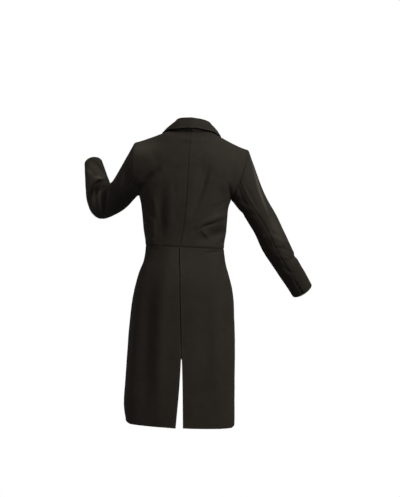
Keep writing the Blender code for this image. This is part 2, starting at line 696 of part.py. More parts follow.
def make_collar():
    """Collar: up the stand inside the neck, over the fold and down the fall outside it."""
    halves = zip(neckline(RIGHT), neckline(LEFT))
    base, past, body_face = [np.concatenate([right[:0:-1], left]) for right, left in halves]
    half = NECK_COLUMNS + GORGE_COLUMNS
    (fold_right, edge_right), (fold_left, edge_left) = collar_lines(RIGHT), collar_lines(LEFT)
    fold = np.concatenate([fold_right[:0:-1], fold_left])
    edge = np.concatenate([edge_right[:0:-1], edge_left])
    out = edge - fold
    out[:, 2] = 0
    out = unit(out)
    up = np.array((0, 0, 1))
    rows = []
    for share in (0, 0.5, 1):
        foot = base + 1.5 * SEAM_GAP * past
        rows.append(foot + (fold - COLLAR_TURN * up - foot) * share)
    for angle in np.radians((45, 90, 135)):
        rows.append(fold - COLLAR_TURN * up + COLLAR_TURN * (np.sin(angle) * up + (1 - np.cos(angle)) * out))
    far = fold - COLLAR_TURN * up + 2 * COLLAR_TURN * out
    for share in (0.15, 0.4, 0.7, 1):
        bow = 0.003 * np.sin(np.pi * share)
        rows.append(far + (edge - far) * share + bow * (0.7 * up + 0.7 * out))
    grid = np.array(rows)
    face = normals_of(grid)
    face = face * np.sign(face[4, half] @ up)
    face[0] = -body_face
    cloth_wall("collar", grid, face)


def make_button(name, centre, normal, radius):
    """Slightly domed round button that lies on the cloth at centre."""
    bpy.ops.mesh.primitive_cylinder_add(vertices=16, radius=radius, depth=BUTTON_THICKNESS)
    button = bpy.context.object
    button.name = name
    button.data.name = name
    normal = unit(normal)
    up = np.array((0.0, 0.0, 1.0))
    side_axis = unit(np.cross(up, normal))
    turned = np.stack([side_axis, np.cross(normal, side_axis), normal], -1)
    points = np.array([vertex.co[:] for vertex in button.data.vertices])
    middle = centre + normal * (BUTTON_THICKNESS / 2 + SEAM_GAP)
    button.data.vertices.foreach_set("co", (points @ turned.T + middle).ravel())
    bevel = button.modifiers.new("rounded edge", "BEVEL")
    bevel.width = 0.0009
    bevel.segments = 1
    bevel.limit_method = "ANGLE"
    button.data.materials.append(HORN)
    for collection in list(button.users_collection):
        collection.objects.unlink(button)
    coat.objects.link(button)


def make_buttons():
    level, u = np.meshgrid((0.05, 0.09, 0.13), (0.84, 0.87, 0.90), indexing="ij")
    patch = front_points(LEFT, level, u)
    make_button("button_waist", patch[1, 1], -normals_of(patch)[1, 1], WAIST_BUTTON_RADIUS)
    step = 0.5 / ARMHOLE_ROWS
    turns = (ELBOW_SEAM_ROW - 0.9) * step + np.array((-0.02, 0, 0.02))
    for side in (LEFT, RIGHT):
        grid = sleeve_grid(side, turns)
        face = normals_of(grid) * -side
        for number, place in enumerate(SLEEVE_BUTTON_PLACES, 1):
            row = place * SLEEVE_RINGS
            low = int(row)
            centre = grid[low, 1] + (grid[low + 1, 1] - grid[low, 1]) * (row - low)
            name = "button_" + SIDE_NAME[side] + "_" + str(number)
            make_button(name, centre, face[low, 1], SLEEVE_BUTTON_RADIUS)


for leftover in list(bpy.data.objects):
    bpy.data.objects.remove(leftover)
coat = bpy.data.collections.new("tailcoat")
bpy.context.scene.collection.children.link(coat)
WOOL = cloth_material()
HORN = button_material()
for coat_side in (LEFT, RIGHT):
    make_body(coat_side)
    make_skirt(coat_side)
    make_sleeve(coat_side)
    make_lapel(coat_side)
make_collar()
make_buttons()
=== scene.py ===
"""Tailcoat, dressed: thin wool shells with seams, folds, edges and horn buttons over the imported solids.

Metres, +Z up. The back of the coat faces +Y and the bent left sleeve is at +X.
"""

import bmesh
import bpy
import numpy as np
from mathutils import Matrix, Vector


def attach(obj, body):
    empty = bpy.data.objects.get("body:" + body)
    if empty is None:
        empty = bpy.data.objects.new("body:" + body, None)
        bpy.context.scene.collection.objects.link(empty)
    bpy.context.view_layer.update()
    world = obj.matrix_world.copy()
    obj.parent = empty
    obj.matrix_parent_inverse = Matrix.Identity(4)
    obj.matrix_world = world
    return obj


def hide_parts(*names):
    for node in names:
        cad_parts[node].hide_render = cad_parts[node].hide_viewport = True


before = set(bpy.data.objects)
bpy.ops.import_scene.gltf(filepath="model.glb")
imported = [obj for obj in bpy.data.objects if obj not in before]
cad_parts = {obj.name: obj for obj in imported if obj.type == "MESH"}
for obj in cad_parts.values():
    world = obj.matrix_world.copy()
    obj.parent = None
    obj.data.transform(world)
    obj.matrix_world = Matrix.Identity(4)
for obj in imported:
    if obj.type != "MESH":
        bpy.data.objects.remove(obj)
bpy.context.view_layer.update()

# Place that the coat is looked at from, and the width seen there
EYE = np.array((-0.0351, 6.0, -0.4466))
VIEW_WIDTH = 1.56

# Thickness of the cloth, and the gap between two sewn pieces
CLOTH = 0.002
SEAM_GAP = 0.0003

# Heights on the coat
WAIST_Z = -0.4405
UNDERARM_Z = -0.247
VENT_OPENS = -0.872
HEM_Z = -1.1325

# Form of the body: fullness of its arcs, slope of its lean, and how the left front lies over the right
ROUND = 0.6
FRONT_ROUND = 0.8
LEAN = 0.045
UNDERARM_MIDDLE = 0.023
FRONT_OVERLAP = 0.020
UNDER_STEP = 0.0046

# Columns of the solids' back, and how many of them end at the neck
BACK_COLUMNS = 12
NECK_COLUMNS = 4

# Turn round the arm at which the sleeve's elbow seam lies
ELBOW_SEAM_TURN = 0.3

# Collar: drop of the gorge in levels, radius of the fold, bow of the fall
GORGE_DROP = 0.3
COLLAR_TURN = 0.0045
COLLAR_BOW = 0.003

# Seam allowances: thickness, way in from the cloth, lines beside the seam in metres or in grid steps
TAPE = 0.0008
TAPE_INSET = 0.0006
TAPE_OFFSETS = np.array((-0.008, -0.004, 0, 0.004, 0.008))
TAPE_STEPS = (7, 4, 0)
ARMHOLE_TAPE_STEPS = (6, 3, 0)

# Buttons: radii, radius of the thread, and place of the holes as a share of the radius
WAIST_BUTTON_RADIUS = 0.011
SLEEVE_BUTTON_RADIUS = 0.0075
THREAD_RADIUS = 0.00035
HOLE_PLACE = 0.24

# Reach of what happens beside a seam or an edge
CREASE_FADE = 0.012
FOLD_FADE = 0.04
ROLL_DEPTH = 0.0009
ROLL_WIDTH = 0.0024
SWELL_HEIGHT = 0.00045
SWELL_PLACE = 0.0075
SWELL_WIDTH = 0.0045
# Reach of the shade painted into the seams, and its share at a faint seam
SEAM_SHADE = 0.0026
FAINT_SHADE = 0.4
# Reach of the wear and painted sheen on free edges
EDGE_WEAR_AND_SHEEN = 0.003
MITRE_REACH = 0.004
MITRE_LEAN = 0.8
RIM_BULGE = 0.4

# Steps of the fine grids
LOWER_ROWS = 62
UPPER_ROWS = 84
BACK_ACROSS = 66
FRONT_ACROSS = 46
SKIRT_DOWN = 190
SKIRT_BACK = 80
SKIRT_FRONT = 44
SLEEVE_ALONG = 290
TOP_AROUND = 72
UNDER_AROUND = 52
LAPEL_ROWS = 70
LAPEL_ACROSS = 30
STAND_ROWS = 12
TURN_ROWS = 11
FALL_ROWS = 22
COLLAR_ALONG = 56

# Studio
FLOOR_Z = -1.62
FLOOR_RADIUS = 14
LAMP_PLACE = (-2.35, 2.60, 2.15)
LAMP_AIM = (0.0, 0.0, -0.5)
LAMP_SIZE = 0.7
LAMP_POWER = 226
LAMP_COLOUR = (1.0, 0.985, 0.93)
ROOM_LIGHT = 0.60
ROOM_COLOUR = (1.0, 0.94, 0.93, 1)

LEFT = 1
RIGHT = -1
SIDE_NAME = {LEFT: "left", RIGHT: "right"}

# Creases seen from behind: piece, places where they are seen at y = 0, width, height, bank, deepest share
CREASES = (
    ("back", ((0.209, -0.222), (0.191, -0.203), (0.170, -0.177), (0.131, -0.140)),
     0.0120, -0.0180, 0.3, 0.2),
    ("back", ((0.168, -0.242), (0.148, -0.214), (0.121, -0.195)), 0.0080, -0.0020, -0.3, 0.3),
    ("back", ((0.105, -0.203), (0.111, -0.257), (0.117, -0.312), (0.119, -0.367), (0.127, -0.429)),
     0.0210, -0.0080, -0.4, 0.6),
    ("back", ((0.177, -0.246), (0.168, -0.285), (0.148, -0.335)), 0.0080, -0.0040, 0.5, 0.5),
    ("back", ((0.148, -0.242), (0.144, -0.281), (0.136, -0.320)), 0.0110, 0.0025, 0.0, 0.4),
    ("back", ((0.176, -0.363), (0.160, -0.390), (0.133, -0.413)), 0.0070, -0.0030, 0.4, 0.3),
    ("back", ((0.136, -0.331), (0.133, -0.374), (0.138, -0.421)), 0.0070, -0.0025, 0.4, 0.5),
    ("back", ((0.070, -0.164), (0.062, -0.257), (0.066, -0.367)), 0.0120, -0.0016, 0.3, 0.5),
    ("back", ((0.160, -0.062), (0.136, -0.101), (0.121, -0.148)), 0.0140, -0.0020, 0.3, 0.4),
    ("back", ((-0.080, -0.105), (-0.058, -0.160), (-0.040, -0.218), (-0.006, -0.312)),
     0.0160, -0.0130, 0.5, 0.4),
    ("back", ((-0.047, -0.090), (-0.037, -0.133), (-0.025, -0.187)), 0.0220, -0.0090, -0.3, 0.5),
    ("back", ((-0.097, -0.094), (-0.090, -0.148), (-0.074, -0.211)), 0.0120, -0.0020, -0.4, 0.5),
    ("back", ((-0.145, -0.191), (-0.149, -0.218), (-0.155, -0.254)), 0.0090, -0.0090, 0.3, 0.5),
    ("back", ((-0.140, -0.257), (-0.117, -0.277), (-0.082, -0.285)), 0.0080, -0.0026, 0.5, 0.2),
    ("back", ((-0.148, -0.312), (-0.121, -0.324), (-0.097, -0.333), (-0.066, -0.351), (-0.033, -0.370)),
     0.0160, 0.0160, 0.0, 0.5),
    ("back", ((-0.144, -0.374), (-0.113, -0.386), (-0.082, -0.400), (-0.053, -0.411)),
     0.0200, -0.0250, 0.0, 0.5),
    ("back", ((-0.029, -0.376), (-0.047, -0.363), (-0.066, -0.355), (-0.090, -0.349), (-0.113, -0.337)),
     0.0050, -0.0080, 0.0, 0.4),
    ("back", ((-0.045, -0.378), (-0.066, -0.402), (-0.090, -0.421)), 0.0070, 0.0060, 0.0, 0.4),
    ("back", ((-0.074, -0.378), (-0.097, -0.402), (-0.121, -0.369)), 0.0045, 0.0020, 0.0, 0.5),
    ("back", ((-0.133, -0.409), (-0.109, -0.431)), 0.0050, -0.0030, 0.5, 0.3),
    ("back", ((-0.019, -0.359), (-0.010, -0.374), (-0.002, -0.390)), 0.0050, -0.0022, 0.5, 0.4),
    ("back", ((-0.179, -0.070), (-0.162, -0.125), (-0.152, -0.187)), 0.0150, -0.0050, 0.4, 0.6),
    ("back", ((0.094, 0.010), (0.047, 0.006), (0.000, 0.004), (-0.055, 0.000), (-0.113, -0.014)),
     0.0140, -0.0200, -0.2, 0.5),
    ("back", ((0.051, -0.035), (0.000, -0.037), (-0.047, -0.037)), 0.0080, -0.0025, -0.3, 0.5),
    ("sleeve_right", ((-0.320, -0.441), (-0.343, -0.445), (-0.367, -0.450), (-0.400, -0.468)),
     0.0065, -0.0030, -0.5, 0.8),
    ("sleeve_right", ((-0.331, -0.478), (-0.370, -0.484), (-0.398, -0.495)), 0.0070, 0.0025, 0.0, 0.5),
    ("sleeve_right", ((-0.308, -0.378), (-0.331, -0.392), (-0.359, -0.406)), 0.0090, -0.0035, 0.4, 0.5),
    ("sleeve_right", ((-0.285, -0.398), (-0.300, -0.382), (-0.320, -0.359)), 0.0060, -0.0030, 0.5, 0.2),
    ("sleeve_right", ((-0.175, -0.246), (-0.203, -0.265), (-0.238, -0.281)), 0.0080, -0.0018, 0.5, 0.2),
    ("sleeve_right", ((-0.214, -0.308), (-0.246, -0.316), (-0.277, -0.331)), 0.0080, -0.0015, 0.5, 0.2),
    ("sleeve_right", ((-0.175, -0.125), (-0.179, -0.172), (-0.191, -0.226), (-0.214, -0.281)),
     0.0100, -0.0035, 0.5, 0.4),
    ("sleeve_right", ((-0.214, -0.203), (-0.238, -0.250), (-0.261, -0.296)), 0.0070, -0.0025, 0.5, 0.4),
    ("sleeve_right", ((-0.238, -0.105), (-0.250, -0.156), (-0.266, -0.214),
                      (-0.284, -0.265), (-0.303, -0.316)),
     0.0060, 0.0045, 0.0, 0.5),
    ("sleeve_right", ((-0.359, -0.515), (-0.378, -0.534), (-0.406, -0.542)), 0.0070, -0.0024, 0.4, 0.3),
    ("sleeve_right", ((-0.386, -0.534), (-0.398, -0.552), (-0.409, -0.569)), 0.0032, -0.0016, 0.5, 0.6),
    ("sleeve_left", ((0.324, -0.175), (0.345, -0.183), (0.367, -0.195),
                     (0.381, -0.214), (0.390, -0.242), (0.392, -0.273)),
     0.0075, -0.0240, 0.5, 0.2),
    ("sleeve_left", ((0.386, -0.107), (0.365, -0.125), (0.350, -0.144), (0.337, -0.164), (0.324, -0.183)),
     0.0100, -0.0240, 0.3, 0.6),
    ("sleeve_left", ((0.390, -0.156), (0.369, -0.165), (0.345, -0.170)), 0.0070, 0.0050, 0.0, 0.5),
    ("sleeve_left", ((0.328, -0.193), (0.347, -0.207), (0.355, -0.230), (0.354, -0.265), (0.349, -0.308)),
     0.0070, 0.0120, 0.0, 0.3),
    ("sleeve_left", ((0.326, -0.211), (0.332, -0.242), (0.337, -0.304)), 0.0080, -0.0150, 0.0, 0.4),
    ("sleeve_left", ((0.366, -0.209), (0.368, -0.234), (0.365, -0.273)), 0.0060, -0.0130, 0.0, 0.4),
    ("sleeve_left", ((0.379, -0.222), (0.378, -0.257), (0.369, -0.300)), 0.0065, 0.0045, 0.0, 0.4),
    ("sleeve_left", ((0.421, -0.164), (0.409, -0.183), (0.396, -0.211)), 0.0070, -0.0060, 0.4, 0.4),
    ("sleeve_left", ((0.406, -0.129), (0.388, -0.146), (0.372, -0.168)), 0.0090, -0.0045, 0.4, 0.4),
    ("sleeve_left", ((0.302, -0.164), (0.300, -0.199), (0.308, -0.254)), 0.0110, -0.0060, 0.4, 0.3),
    ("sleeve_left", ((0.242, -0.121), (0.254, -0.187), (0.285, -0.246)), 0.0150, -0.0070, 0.4, 0.4),
    ("sleeve_left", ((0.226, -0.062), (0.224, -0.125), (0.207, -0.191)), 0.0110, -0.0060, 0.4, 0.4),
    ("sleeve_left", ((0.398, -0.254), (0.384, -0.285), (0.363, -0.310)), 0.0080, -0.0040, 0.4, 0.4),
    ("sleeve_left", ((0.330, -0.180), (0.343, -0.185), (0.361, -0.193)), 0.0045, -0.0120, 0.0, 0.4),
    ("skirt", ((0.078, -0.452), (0.109, -0.589), (0.123, -0.764), (0.127, -0.959), (0.129, -1.143)),
     0.0270, 0.0090, 0.0, 0.5),
    ("skirt", ((0.136, -0.452), (0.162, -0.589), (0.170, -0.764), (0.179, -0.959), (0.191, -1.123)),
     0.0290, -0.0110, 0.0, 0.5),
    ("skirt", ((0.211, -0.589), (0.222, -0.764), (0.230, -0.940), (0.238, -1.096)),
     0.0170, 0.0030, 0.0, 0.6),
    ("skirt", ((-0.133, -0.454), (-0.090, -0.459), (-0.055, -0.466)), 0.0080, -0.0050, 0.5, 0.4),
    ("skirt", ((-0.121, -0.468), (-0.126, -0.515), (-0.124, -0.577)), 0.0110, -0.0070, 0.4, 0.5),
    ("skirt", ((-0.078, -0.484), (-0.094, -0.647), (-0.103, -0.881), (-0.115, -1.143)),
     0.0250, 0.0070, 0.0, 0.6),
    ("skirt", ((-0.047, -0.499), (-0.047, -0.764), (-0.055, -1.143)), 0.0270, -0.0040, 0.0, 0.7),
    ("skirt", ((-0.154, -0.589), (-0.156, -0.803), (-0.160, -1.131)), 0.0130, -0.0060, 0.0, 0.6),
)

# Painted highlights where the light catches ridges of the cloth: piece, path, width, strength, strongest
# share
PAINTED_HIGHLIGHTS = (
    ("sleeve_right", ((-0.237, -0.105), (-0.250, -0.156), (-0.265, -0.214),
                      (-0.283, -0.265), (-0.302, -0.316)),
     0.0048, 0.85, 0.5),
    ("sleeve_right", ((-0.308, -0.320), (-0.335, -0.378), (-0.363, -0.425)), 0.0160, 0.30, 0.4),
    ("sleeve_left", ((0.406, -0.117), (0.394, -0.136), (0.380, -0.160)), 0.0160, 0.35, 0.5),
    ("sleeve_left", ((0.382, -0.165), (0.363, -0.170), (0.343, -0.173)), 0.0050, 0.80, 0.5),
    ("sleeve_left", ((0.337, -0.200), (0.354, -0.224), (0.356, -0.257), (0.351, -0.300)),
     0.0050, 0.90, 0.3),
    ("sleeve_left", ((0.378, -0.218), (0.377, -0.257), (0.370, -0.289)), 0.0060, 0.50, 0.4),
    ("back", ((0.230, -0.062), (0.179, -0.051), (0.121, -0.039)), 0.0260, 0.35, 0.4),
)

# Creases on the hidden sides: piece, x and z of their places, width, height, bank, deepest share
HIDDEN_CREASES = (
    ("front", ((0.188, -0.262), (0.158, -0.292), (0.123, -0.310)), 0.0090, -0.0030, 0.4, 0.2),
    ("front", ((0.178, -0.345), (0.133, -0.370), (0.083, -0.388)), 0.0090, -0.0032, -0.4, 0.3),
    ("front", ((0.173, -0.400), (0.128, -0.412), (0.073, -0.424)), 0.0070, -0.0026, 0.4, 0.4),
    ("front", ((0.213, -0.120), (0.188, -0.160), (0.181, -0.205)), 0.0110, -0.0030, 0.4, 0.4),
    ("front", ((0.143, -0.040), (0.133, -0.110), (0.123, -0.180)), 0.0150, -0.0020, 0.3, 0.4),
    ("front", ((-0.142, -0.262), (-0.112, -0.292), (-0.077, -0.310)), 0.0090, -0.0030, 0.4, 0.2),
    ("front", ((-0.132, -0.345), (-0.087, -0.370), (-0.037, -0.396)), 0.0090, -0.0032, -0.4, 0.3),
    ("front", ((-0.127, -0.400), (-0.082, -0.412), (-0.027, -0.424)), 0.0070, -0.0026, 0.4, 0.4),
    ("front", ((-0.167, -0.120), (-0.142, -0.160), (-0.135, -0.205)), 0.0110, -0.0030, 0.4, 0.4),
    ("front", ((-0.097, -0.040), (-0.087, -0.110), (-0.077, -0.180)), 0.0150, -0.0020, 0.3, 0.4),
    ("skirt", ((0.190, -0.500), (0.205, -0.660), (0.215, -0.950)), 0.0150, -0.0035, 0.3, 0.5),
    ("skirt", ((-0.135, -0.500), (-0.150, -0.660), (-0.152, -0.950)), 0.0130, -0.0035, 0.3, 0.5),
    ("skirt", ((0.140, -0.470), (0.165, -0.620), (0.180, -0.800)), 0.0130, -0.0026, -0.3, 0.4),
    ("skirt", ((-0.100, -0.470), (-0.122, -0.620), (-0.130, -0.800)), 0.0130, -0.0026, -0.3, 0.4),
    ("sleeve_left", ((0.262, -0.190), (0.275, -0.235), (0.272, -0.275)), 0.0100, -0.0035, 0.4, 0.4),
    ("sleeve_left", ((0.310, -0.215), (0.322, -0.262), (0.318, -0.305)), 0.0090, -0.0030, 0.4, 0.4),
    ("sleeve_left", ((0.335, -0.235), (0.360, -0.232), (0.400, -0.215)), 0.0070, -0.0050, -0.5, 0.5),
    ("sleeve_left", ((0.345, -0.262), (0.375, -0.262), (0.405, -0.248)), 0.0070, -0.0035, 0.4, 0.5),
    ("sleeve_left", ((0.360, -0.195), (0.385, -0.188), (0.415, -0.175)), 0.0070, -0.0025, 0.4, 0.5),
    ("sleeve_right", ((-0.205, -0.225), (-0.225, -0.275), (-0.255, -0.310)), 0.0100, -0.0035, 0.4, 0.4),
    ("sleeve_right", ((-0.275, -0.400), (-0.305, -0.420), (-0.345, -0.418)), 0.0080, -0.0040, 0.5, 0.5),
    ("sleeve_right", ((-0.290, -0.435), (-0.325, -0.455), (-0.365, -0.450)), 0.0080, -0.0040, -0.5, 0.5),
    ("sleeve_right", ((-0.330, -0.485), (-0.360, -0.500), (-0.395, -0.490)), 0.0070, -0.0030, 0.4, 0.5),
    ("sleeve_right", ((-0.230, -0.330), (-0.262, -0.360), (-0.300, -0.365)), 0.0090, -0.0025, 0.4, 0.5),
)

# Share of the solids' wrung folds kept under the drawn creases
WRUNG_SHARE = {LEFT: 0.3, RIGHT: 0.85}

# The edges of the closed vent: how deep each rolls in, and how wide the shadow painted along its line is
VENT_DIP = {LEFT: 0.0036, RIGHT: -0.0006}
VENT_DIP_WIDTH = 0.0045
VENT_SHADE = {LEFT: 0.0045, RIGHT: 0.0012}
VENT_FADE = 0.10

# Way that each button faces
BUTTON_OUT = {
    "button_waist": (0.11, -0.99, -0.09),
    "button_left_1": (0.57, -0.60, -0.57),
    "button_left_2": (0.57, -0.60, -0.56),
    "button_left_3": (0.57, -0.60, -0.56),
    "button_right_1": (-0.40, 0.84, -0.37),
    "button_right_2": (-0.39, 0.85, -0.36),
    "button_right_3": (-0.39, 0.85, -0.36),
}

# Rim and underside of a button: share of the radius, height
BUTTON_RIM = np.array([
    (0.97, 0.0021),
    (0.99, 0.0017),
    (1.00, 0.0012),
    (1.00, 0.0005),
    (0.97, 0.0001),
    (0.00, 0.0001),
])

# Outline seen from behind: height, x of the left side, x of the right side, side's y, back's y, front's y
OUTLINE = np.array([
    (HEM_Z, 0.264, -0.171, -0.020, 0.134, -0.120),
    (-1.053, 0.2635, -0.171, -0.020, 0.136, -0.122),
    (-0.956, 0.256, -0.171, -0.020, 0.138, -0.125),
    (-0.796, 0.2445, -0.172, -0.018, 0.141, -0.130),
    (-0.714, 0.2365, -0.170, -0.016, 0.142, -0.133),
    (-0.647, 0.2275, -0.167, -0.014, 0.141, -0.135),
    (-0.585, 0.2145, -0.159, -0.012, 0.136, -0.136),
    (-0.538, 0.2005, -0.147, -0.010, 0.126, -0.134),
    (-0.503, 0.1865, -0.137, -0.008, 0.114, -0.131),
    (-0.475, 0.1805, -0.132, -0.008, 0.105, -0.128),
    (-0.4405, 0.1765, -0.128, -0.008, 0.099, -0.125),
    (-0.374, 0.1856, -0.1373, -0.006, 0.104, -0.129),
    (-0.3276, 0.1895, -0.1412, -0.005, 0.111, -0.132),
    (-0.277, 0.1954, -0.1466, -0.003, 0.118, -0.134),
    (-0.247, 0.2022, -0.1560, -0.002, 0.121, -0.134),
])

# Centre back line from the hem to the shoulders: height, x
CENTRE_BACK = np.array([
    (HEM_Z, 0.0435),
    (-0.956, 0.0370),
    (-0.796, 0.0360),
    (-0.647, 0.0390),
    (-0.538, 0.0405),
    (-0.4405, 0.0421),
    (-0.374, 0.0300),
    (-0.3276, 0.0249),
    (-0.277, 0.0199),
    (-0.247, 0.0166),
])

# Half the opening of the vent: height, half gap towards the left, towards the right
VENT = np.array([
    (HEM_Z, 0.0150, 0.0140),
    (-1.010, 0.0085, 0.0080),
    (-0.900, 0.0035, 0.0035),
    (-0.830, 0.0010, 0.0010),
    (-0.780, 0.0006, 0.0006),
    (-0.4405, 0.0006, 0.0006),
])

# Front edge of the skirt: height, how far round it lies left and right (0 back, 1 side, 2 front)
FRONT_CUT = np.array([
    (HEM_Z, 0.66, 0.76),
    (-1.127, 0.75, 0.88),
    (-1.110, 0.81, 0.97),
    (-1.085, 0.88, 1.04),
    (-1.050, 0.97, 1.10),
    (-1.000, 1.06, 1.15),
    (-0.930, 1.12, 1.20),
    (-0.820, 1.20, 1.27),
    (-0.700, 1.34, 1.40),
    (-0.600, 1.54, 1.58),
    (-0.520, 1.76, 1.78),
    (-0.475, 1.90, 1.91),
    (-0.4405, 2.0, 2.0),
])

# Upper back: level (1 underarm, 2 shoulder seam), centre back x, y, z,
# then the handles of the row at the centre back and at the armhole
UPPER_BACK = np.array([
    (1.33, 0.012, 0.124, -0.155, 0.080, 0.002, 0.000, -0.045, 0.040, 0.000),
    (1.66, 0.006, 0.109, -0.062, 0.075, -0.004, -0.002, -0.052, 0.028, 0.006),
    (1.86, -0.002, 0.064, 0.028, 0.072, -0.006, -0.008, -0.070, 0.012, 0.012),
])

# Shoulder seam, from a point over the neck to the shoulder tip: x, y, z of its four control points
SHOULDER = {
    LEFT: np.array([
        (-0.002, 0.010, 0.048),
        (0.085, 0.004, 0.012),
        (0.135, -0.004, -0.008),
        (0.220, -0.010, -0.034),
    ]),
    RIGHT: np.array([
        (-0.002, 0.010, 0.048),
        (-0.090, 0.004, 0.008),
        (-0.140, -0.004, -0.033),
        (-0.2246, -0.010, -0.0635),
    ]),
}
NECK_LEVEL = 1.86

# Front edge: level (0 waist, 1 underarm), distance from the middle of the coat, y, height
FRONT_EDGE = np.array([
    (0.00, -FRONT_OVERLAP, -0.125, WAIST_Z),
    (0.16, -0.013, -0.1275, -0.409),
    (0.36, 0.006, -0.131, -0.370),
    (0.60, 0.014, -0.133, -0.324),
    (1.00, 0.028, -0.133, UNDERARM_Z),
    (1.33, 0.045, -0.120, -0.150),
    (1.66, 0.063, -0.084, -0.058),
])

# Upper front: level, handle of the row at the armhole, handle at the front edge (x outwards, y, z)
UPPER_FRONT = np.array([
    (1.33, -0.025, -0.045, 0.000, 0.055, -0.004, 0.000),
    (1.66, -0.045, -0.016, 0.005, 0.050, -0.008, -0.002),
])

# Armhole: shoulder tip, underarm point, then depth and hollow at mid height, behind and ahead
ARMHOLE = {
    LEFT: {"tip": SHOULDER[LEFT][3], "under": (0.2022, -0.002, -0.240),
           "behind": (0.068, -0.016), "ahead": (0.080, 0.014)},
    RIGHT: {"tip": SHOULDER[RIGHT][3], "under": (-0.1560, -0.002, -0.257),
            "behind": (0.074, -0.010), "ahead": (0.080, 0.006)},
}

# Rings of the sleeves: centre x, y, z, outward direction x, y, z,
# then the radius outwards, towards the elbow and towards the crook
SLEEVE_TABLE = {
    LEFT: np.array([
        (0.254, -0.045, -0.203, 0.50, 0.10, 0.85, 0.057, 0.062, 0.048),
        (0.291, -0.090, -0.237, 0.75, 0.35, 0.55, 0.058, 0.059, 0.052),
        (0.327, -0.133, -0.261, 0.81, 0.47, 0.36, 0.056, 0.056, 0.045),
        (0.351, -0.170, -0.268, 0.81, 0.47, 0.36, 0.051, 0.061, 0.039),
        (0.366, -0.212, -0.248, 0.81, 0.47, 0.36, 0.054, 0.057, 0.041),
        (0.377, -0.258, -0.202, 0.81, 0.47, 0.36, 0.055, 0.050, 0.046),
        (0.391, -0.310, -0.149, 0.81, 0.47, 0.36, 0.047, 0.044, 0.042),
        (0.405, -0.360, -0.095, 0.81, 0.47, 0.36, 0.038, 0.037, 0.037),
    ]),
    RIGHT: np.array([
        (-0.229, -0.010, -0.251, -0.95, -0.15, 0.35, 0.061, 0.062, 0.062),
        (-0.285, -0.020, -0.341, -0.90, -0.20, 0.45, 0.0545, 0.056, 0.054),
        (-0.329, -0.045, -0.430, -0.85, -0.20, 0.50, 0.0545, 0.055, 0.050),
        (-0.3775, -0.090, -0.511, -0.85, -0.20, 0.50, 0.049, 0.050, 0.046),
        (-0.412, -0.122, -0.564, -0.85, -0.20, 0.50, 0.047, 0.043, 0.042),
        (-0.443, -0.150, -0.613, -0.85, -0.20, 0.50, 0.045, 0.037, 0.037),
    ]),
}

# Folds of the body: piece, x and z of one end, x and z of the other, width, depth (troughs below zero)
BODY_FOLDS = [
    ("back", 0.185, -0.200, 0.146, -0.150, 0.016, -0.005),
    ("back", 0.118, -0.220, 0.108, -0.425, 0.018, -0.004),
    ("back", 0.168, -0.262, 0.146, -0.328, 0.013, -0.005),
    ("back", 0.160, -0.330, 0.172, -0.395, 0.014, -0.003),
    ("back", -0.136, -0.331, -0.030, -0.372, 0.011, -0.006),
    ("back", -0.040, -0.372, -0.098, -0.420, 0.012, 0.004),
    ("back", -0.130, -0.415, -0.108, -0.434, 0.010, -0.004),
    ("back", -0.055, -0.148, -0.012, -0.290, 0.020, -0.003),
    ("front", 0.150, -0.330, 0.078, -0.385, 0.013, -0.004),
    ("front", -0.110, -0.340, -0.020, -0.405, 0.013, -0.004),
]

# Folds of the sleeves: place along (0 armhole, 1 cuff) and round (turns, 0 outer side, 0.25 elbow,
# 0.75 crook) of each end, width along in metres, depth
SLEEVE_FOLDS = {
    LEFT: [
        (0.56, 0.68, 0.60, 0.93, 0.014, -0.010),
        (0.64, 0.70, 0.70, 0.95, 0.012, -0.006),
        (0.50, 0.80, 0.44, 1.04, 0.014, -0.006),
        (0.53, 0.04, 0.70, 0.98, 0.012, 0.004),
        (0.36, 0.60, 0.30, 0.90, 0.016, -0.005),
        (0.84, 0.80, 0.80, 1.06, 0.012, -0.003),
    ],
    RIGHT: [
        (0.735, -0.02, 0.69, 0.24, 0.011, -0.007),
        (0.60, 0.10, 0.585, 0.24, 0.014, -0.005),
        (0.50, 0.30, 0.56, 0.52, 0.014, -0.005),
        (0.56, 0.62, 0.60, 0.88, 0.013, -0.007),
        (0.66, 0.60, 0.70, 0.85, 0.012, -0.005),
        (0.30, 0.40, 0.24, 0.62, 0.016, -0.004),
    ],
}

# Fold line of the collar: place (0 centre back, 0.5 shoulder, 1 gorge), x, y, z left, then right
COLLAR_FOLD = np.array([
    (0.00, -0.002, 0.058, 0.060, -0.002, 0.058, 0.060),
    (0.25, 0.037, 0.042, 0.059, -0.045, 0.042, 0.053),
    (0.50, 0.054, -0.004, 0.051, -0.070, -0.004, 0.043),
    (1.00, 0.057, -0.070, -0.014, -0.059, -0.070, -0.022),
])

# Outer edge of the collar as it lies on the back and on the forepart: place, level, way round, lift
COLLAR_EDGE_BACK = np.array([
    (0.00, 1.82, 0.00, 0.012),
    (0.25, 1.86, 0.30, 0.010),
    (0.50, 2.00, 0.495, 0.005),
])
COLLAR_EDGE_FRONT = np.array([
    (0.50, 2.00, 0.747, 0.005),
    (0.75, 1.88, 0.62, 0.006),
    (1.00, 1.78, 0.56, 0.006),
])

# Lapel: level, width as a share of the forepart's row
LAPEL = np.array([
    (0.30, 0.03),
    (0.60, 0.20),
    (1.00, 0.36),
    (1.40, 0.52),
    (1.66, 0.62),
])
LAPEL_PEAK = 0.10
LAPEL_LIFT = 0.0015


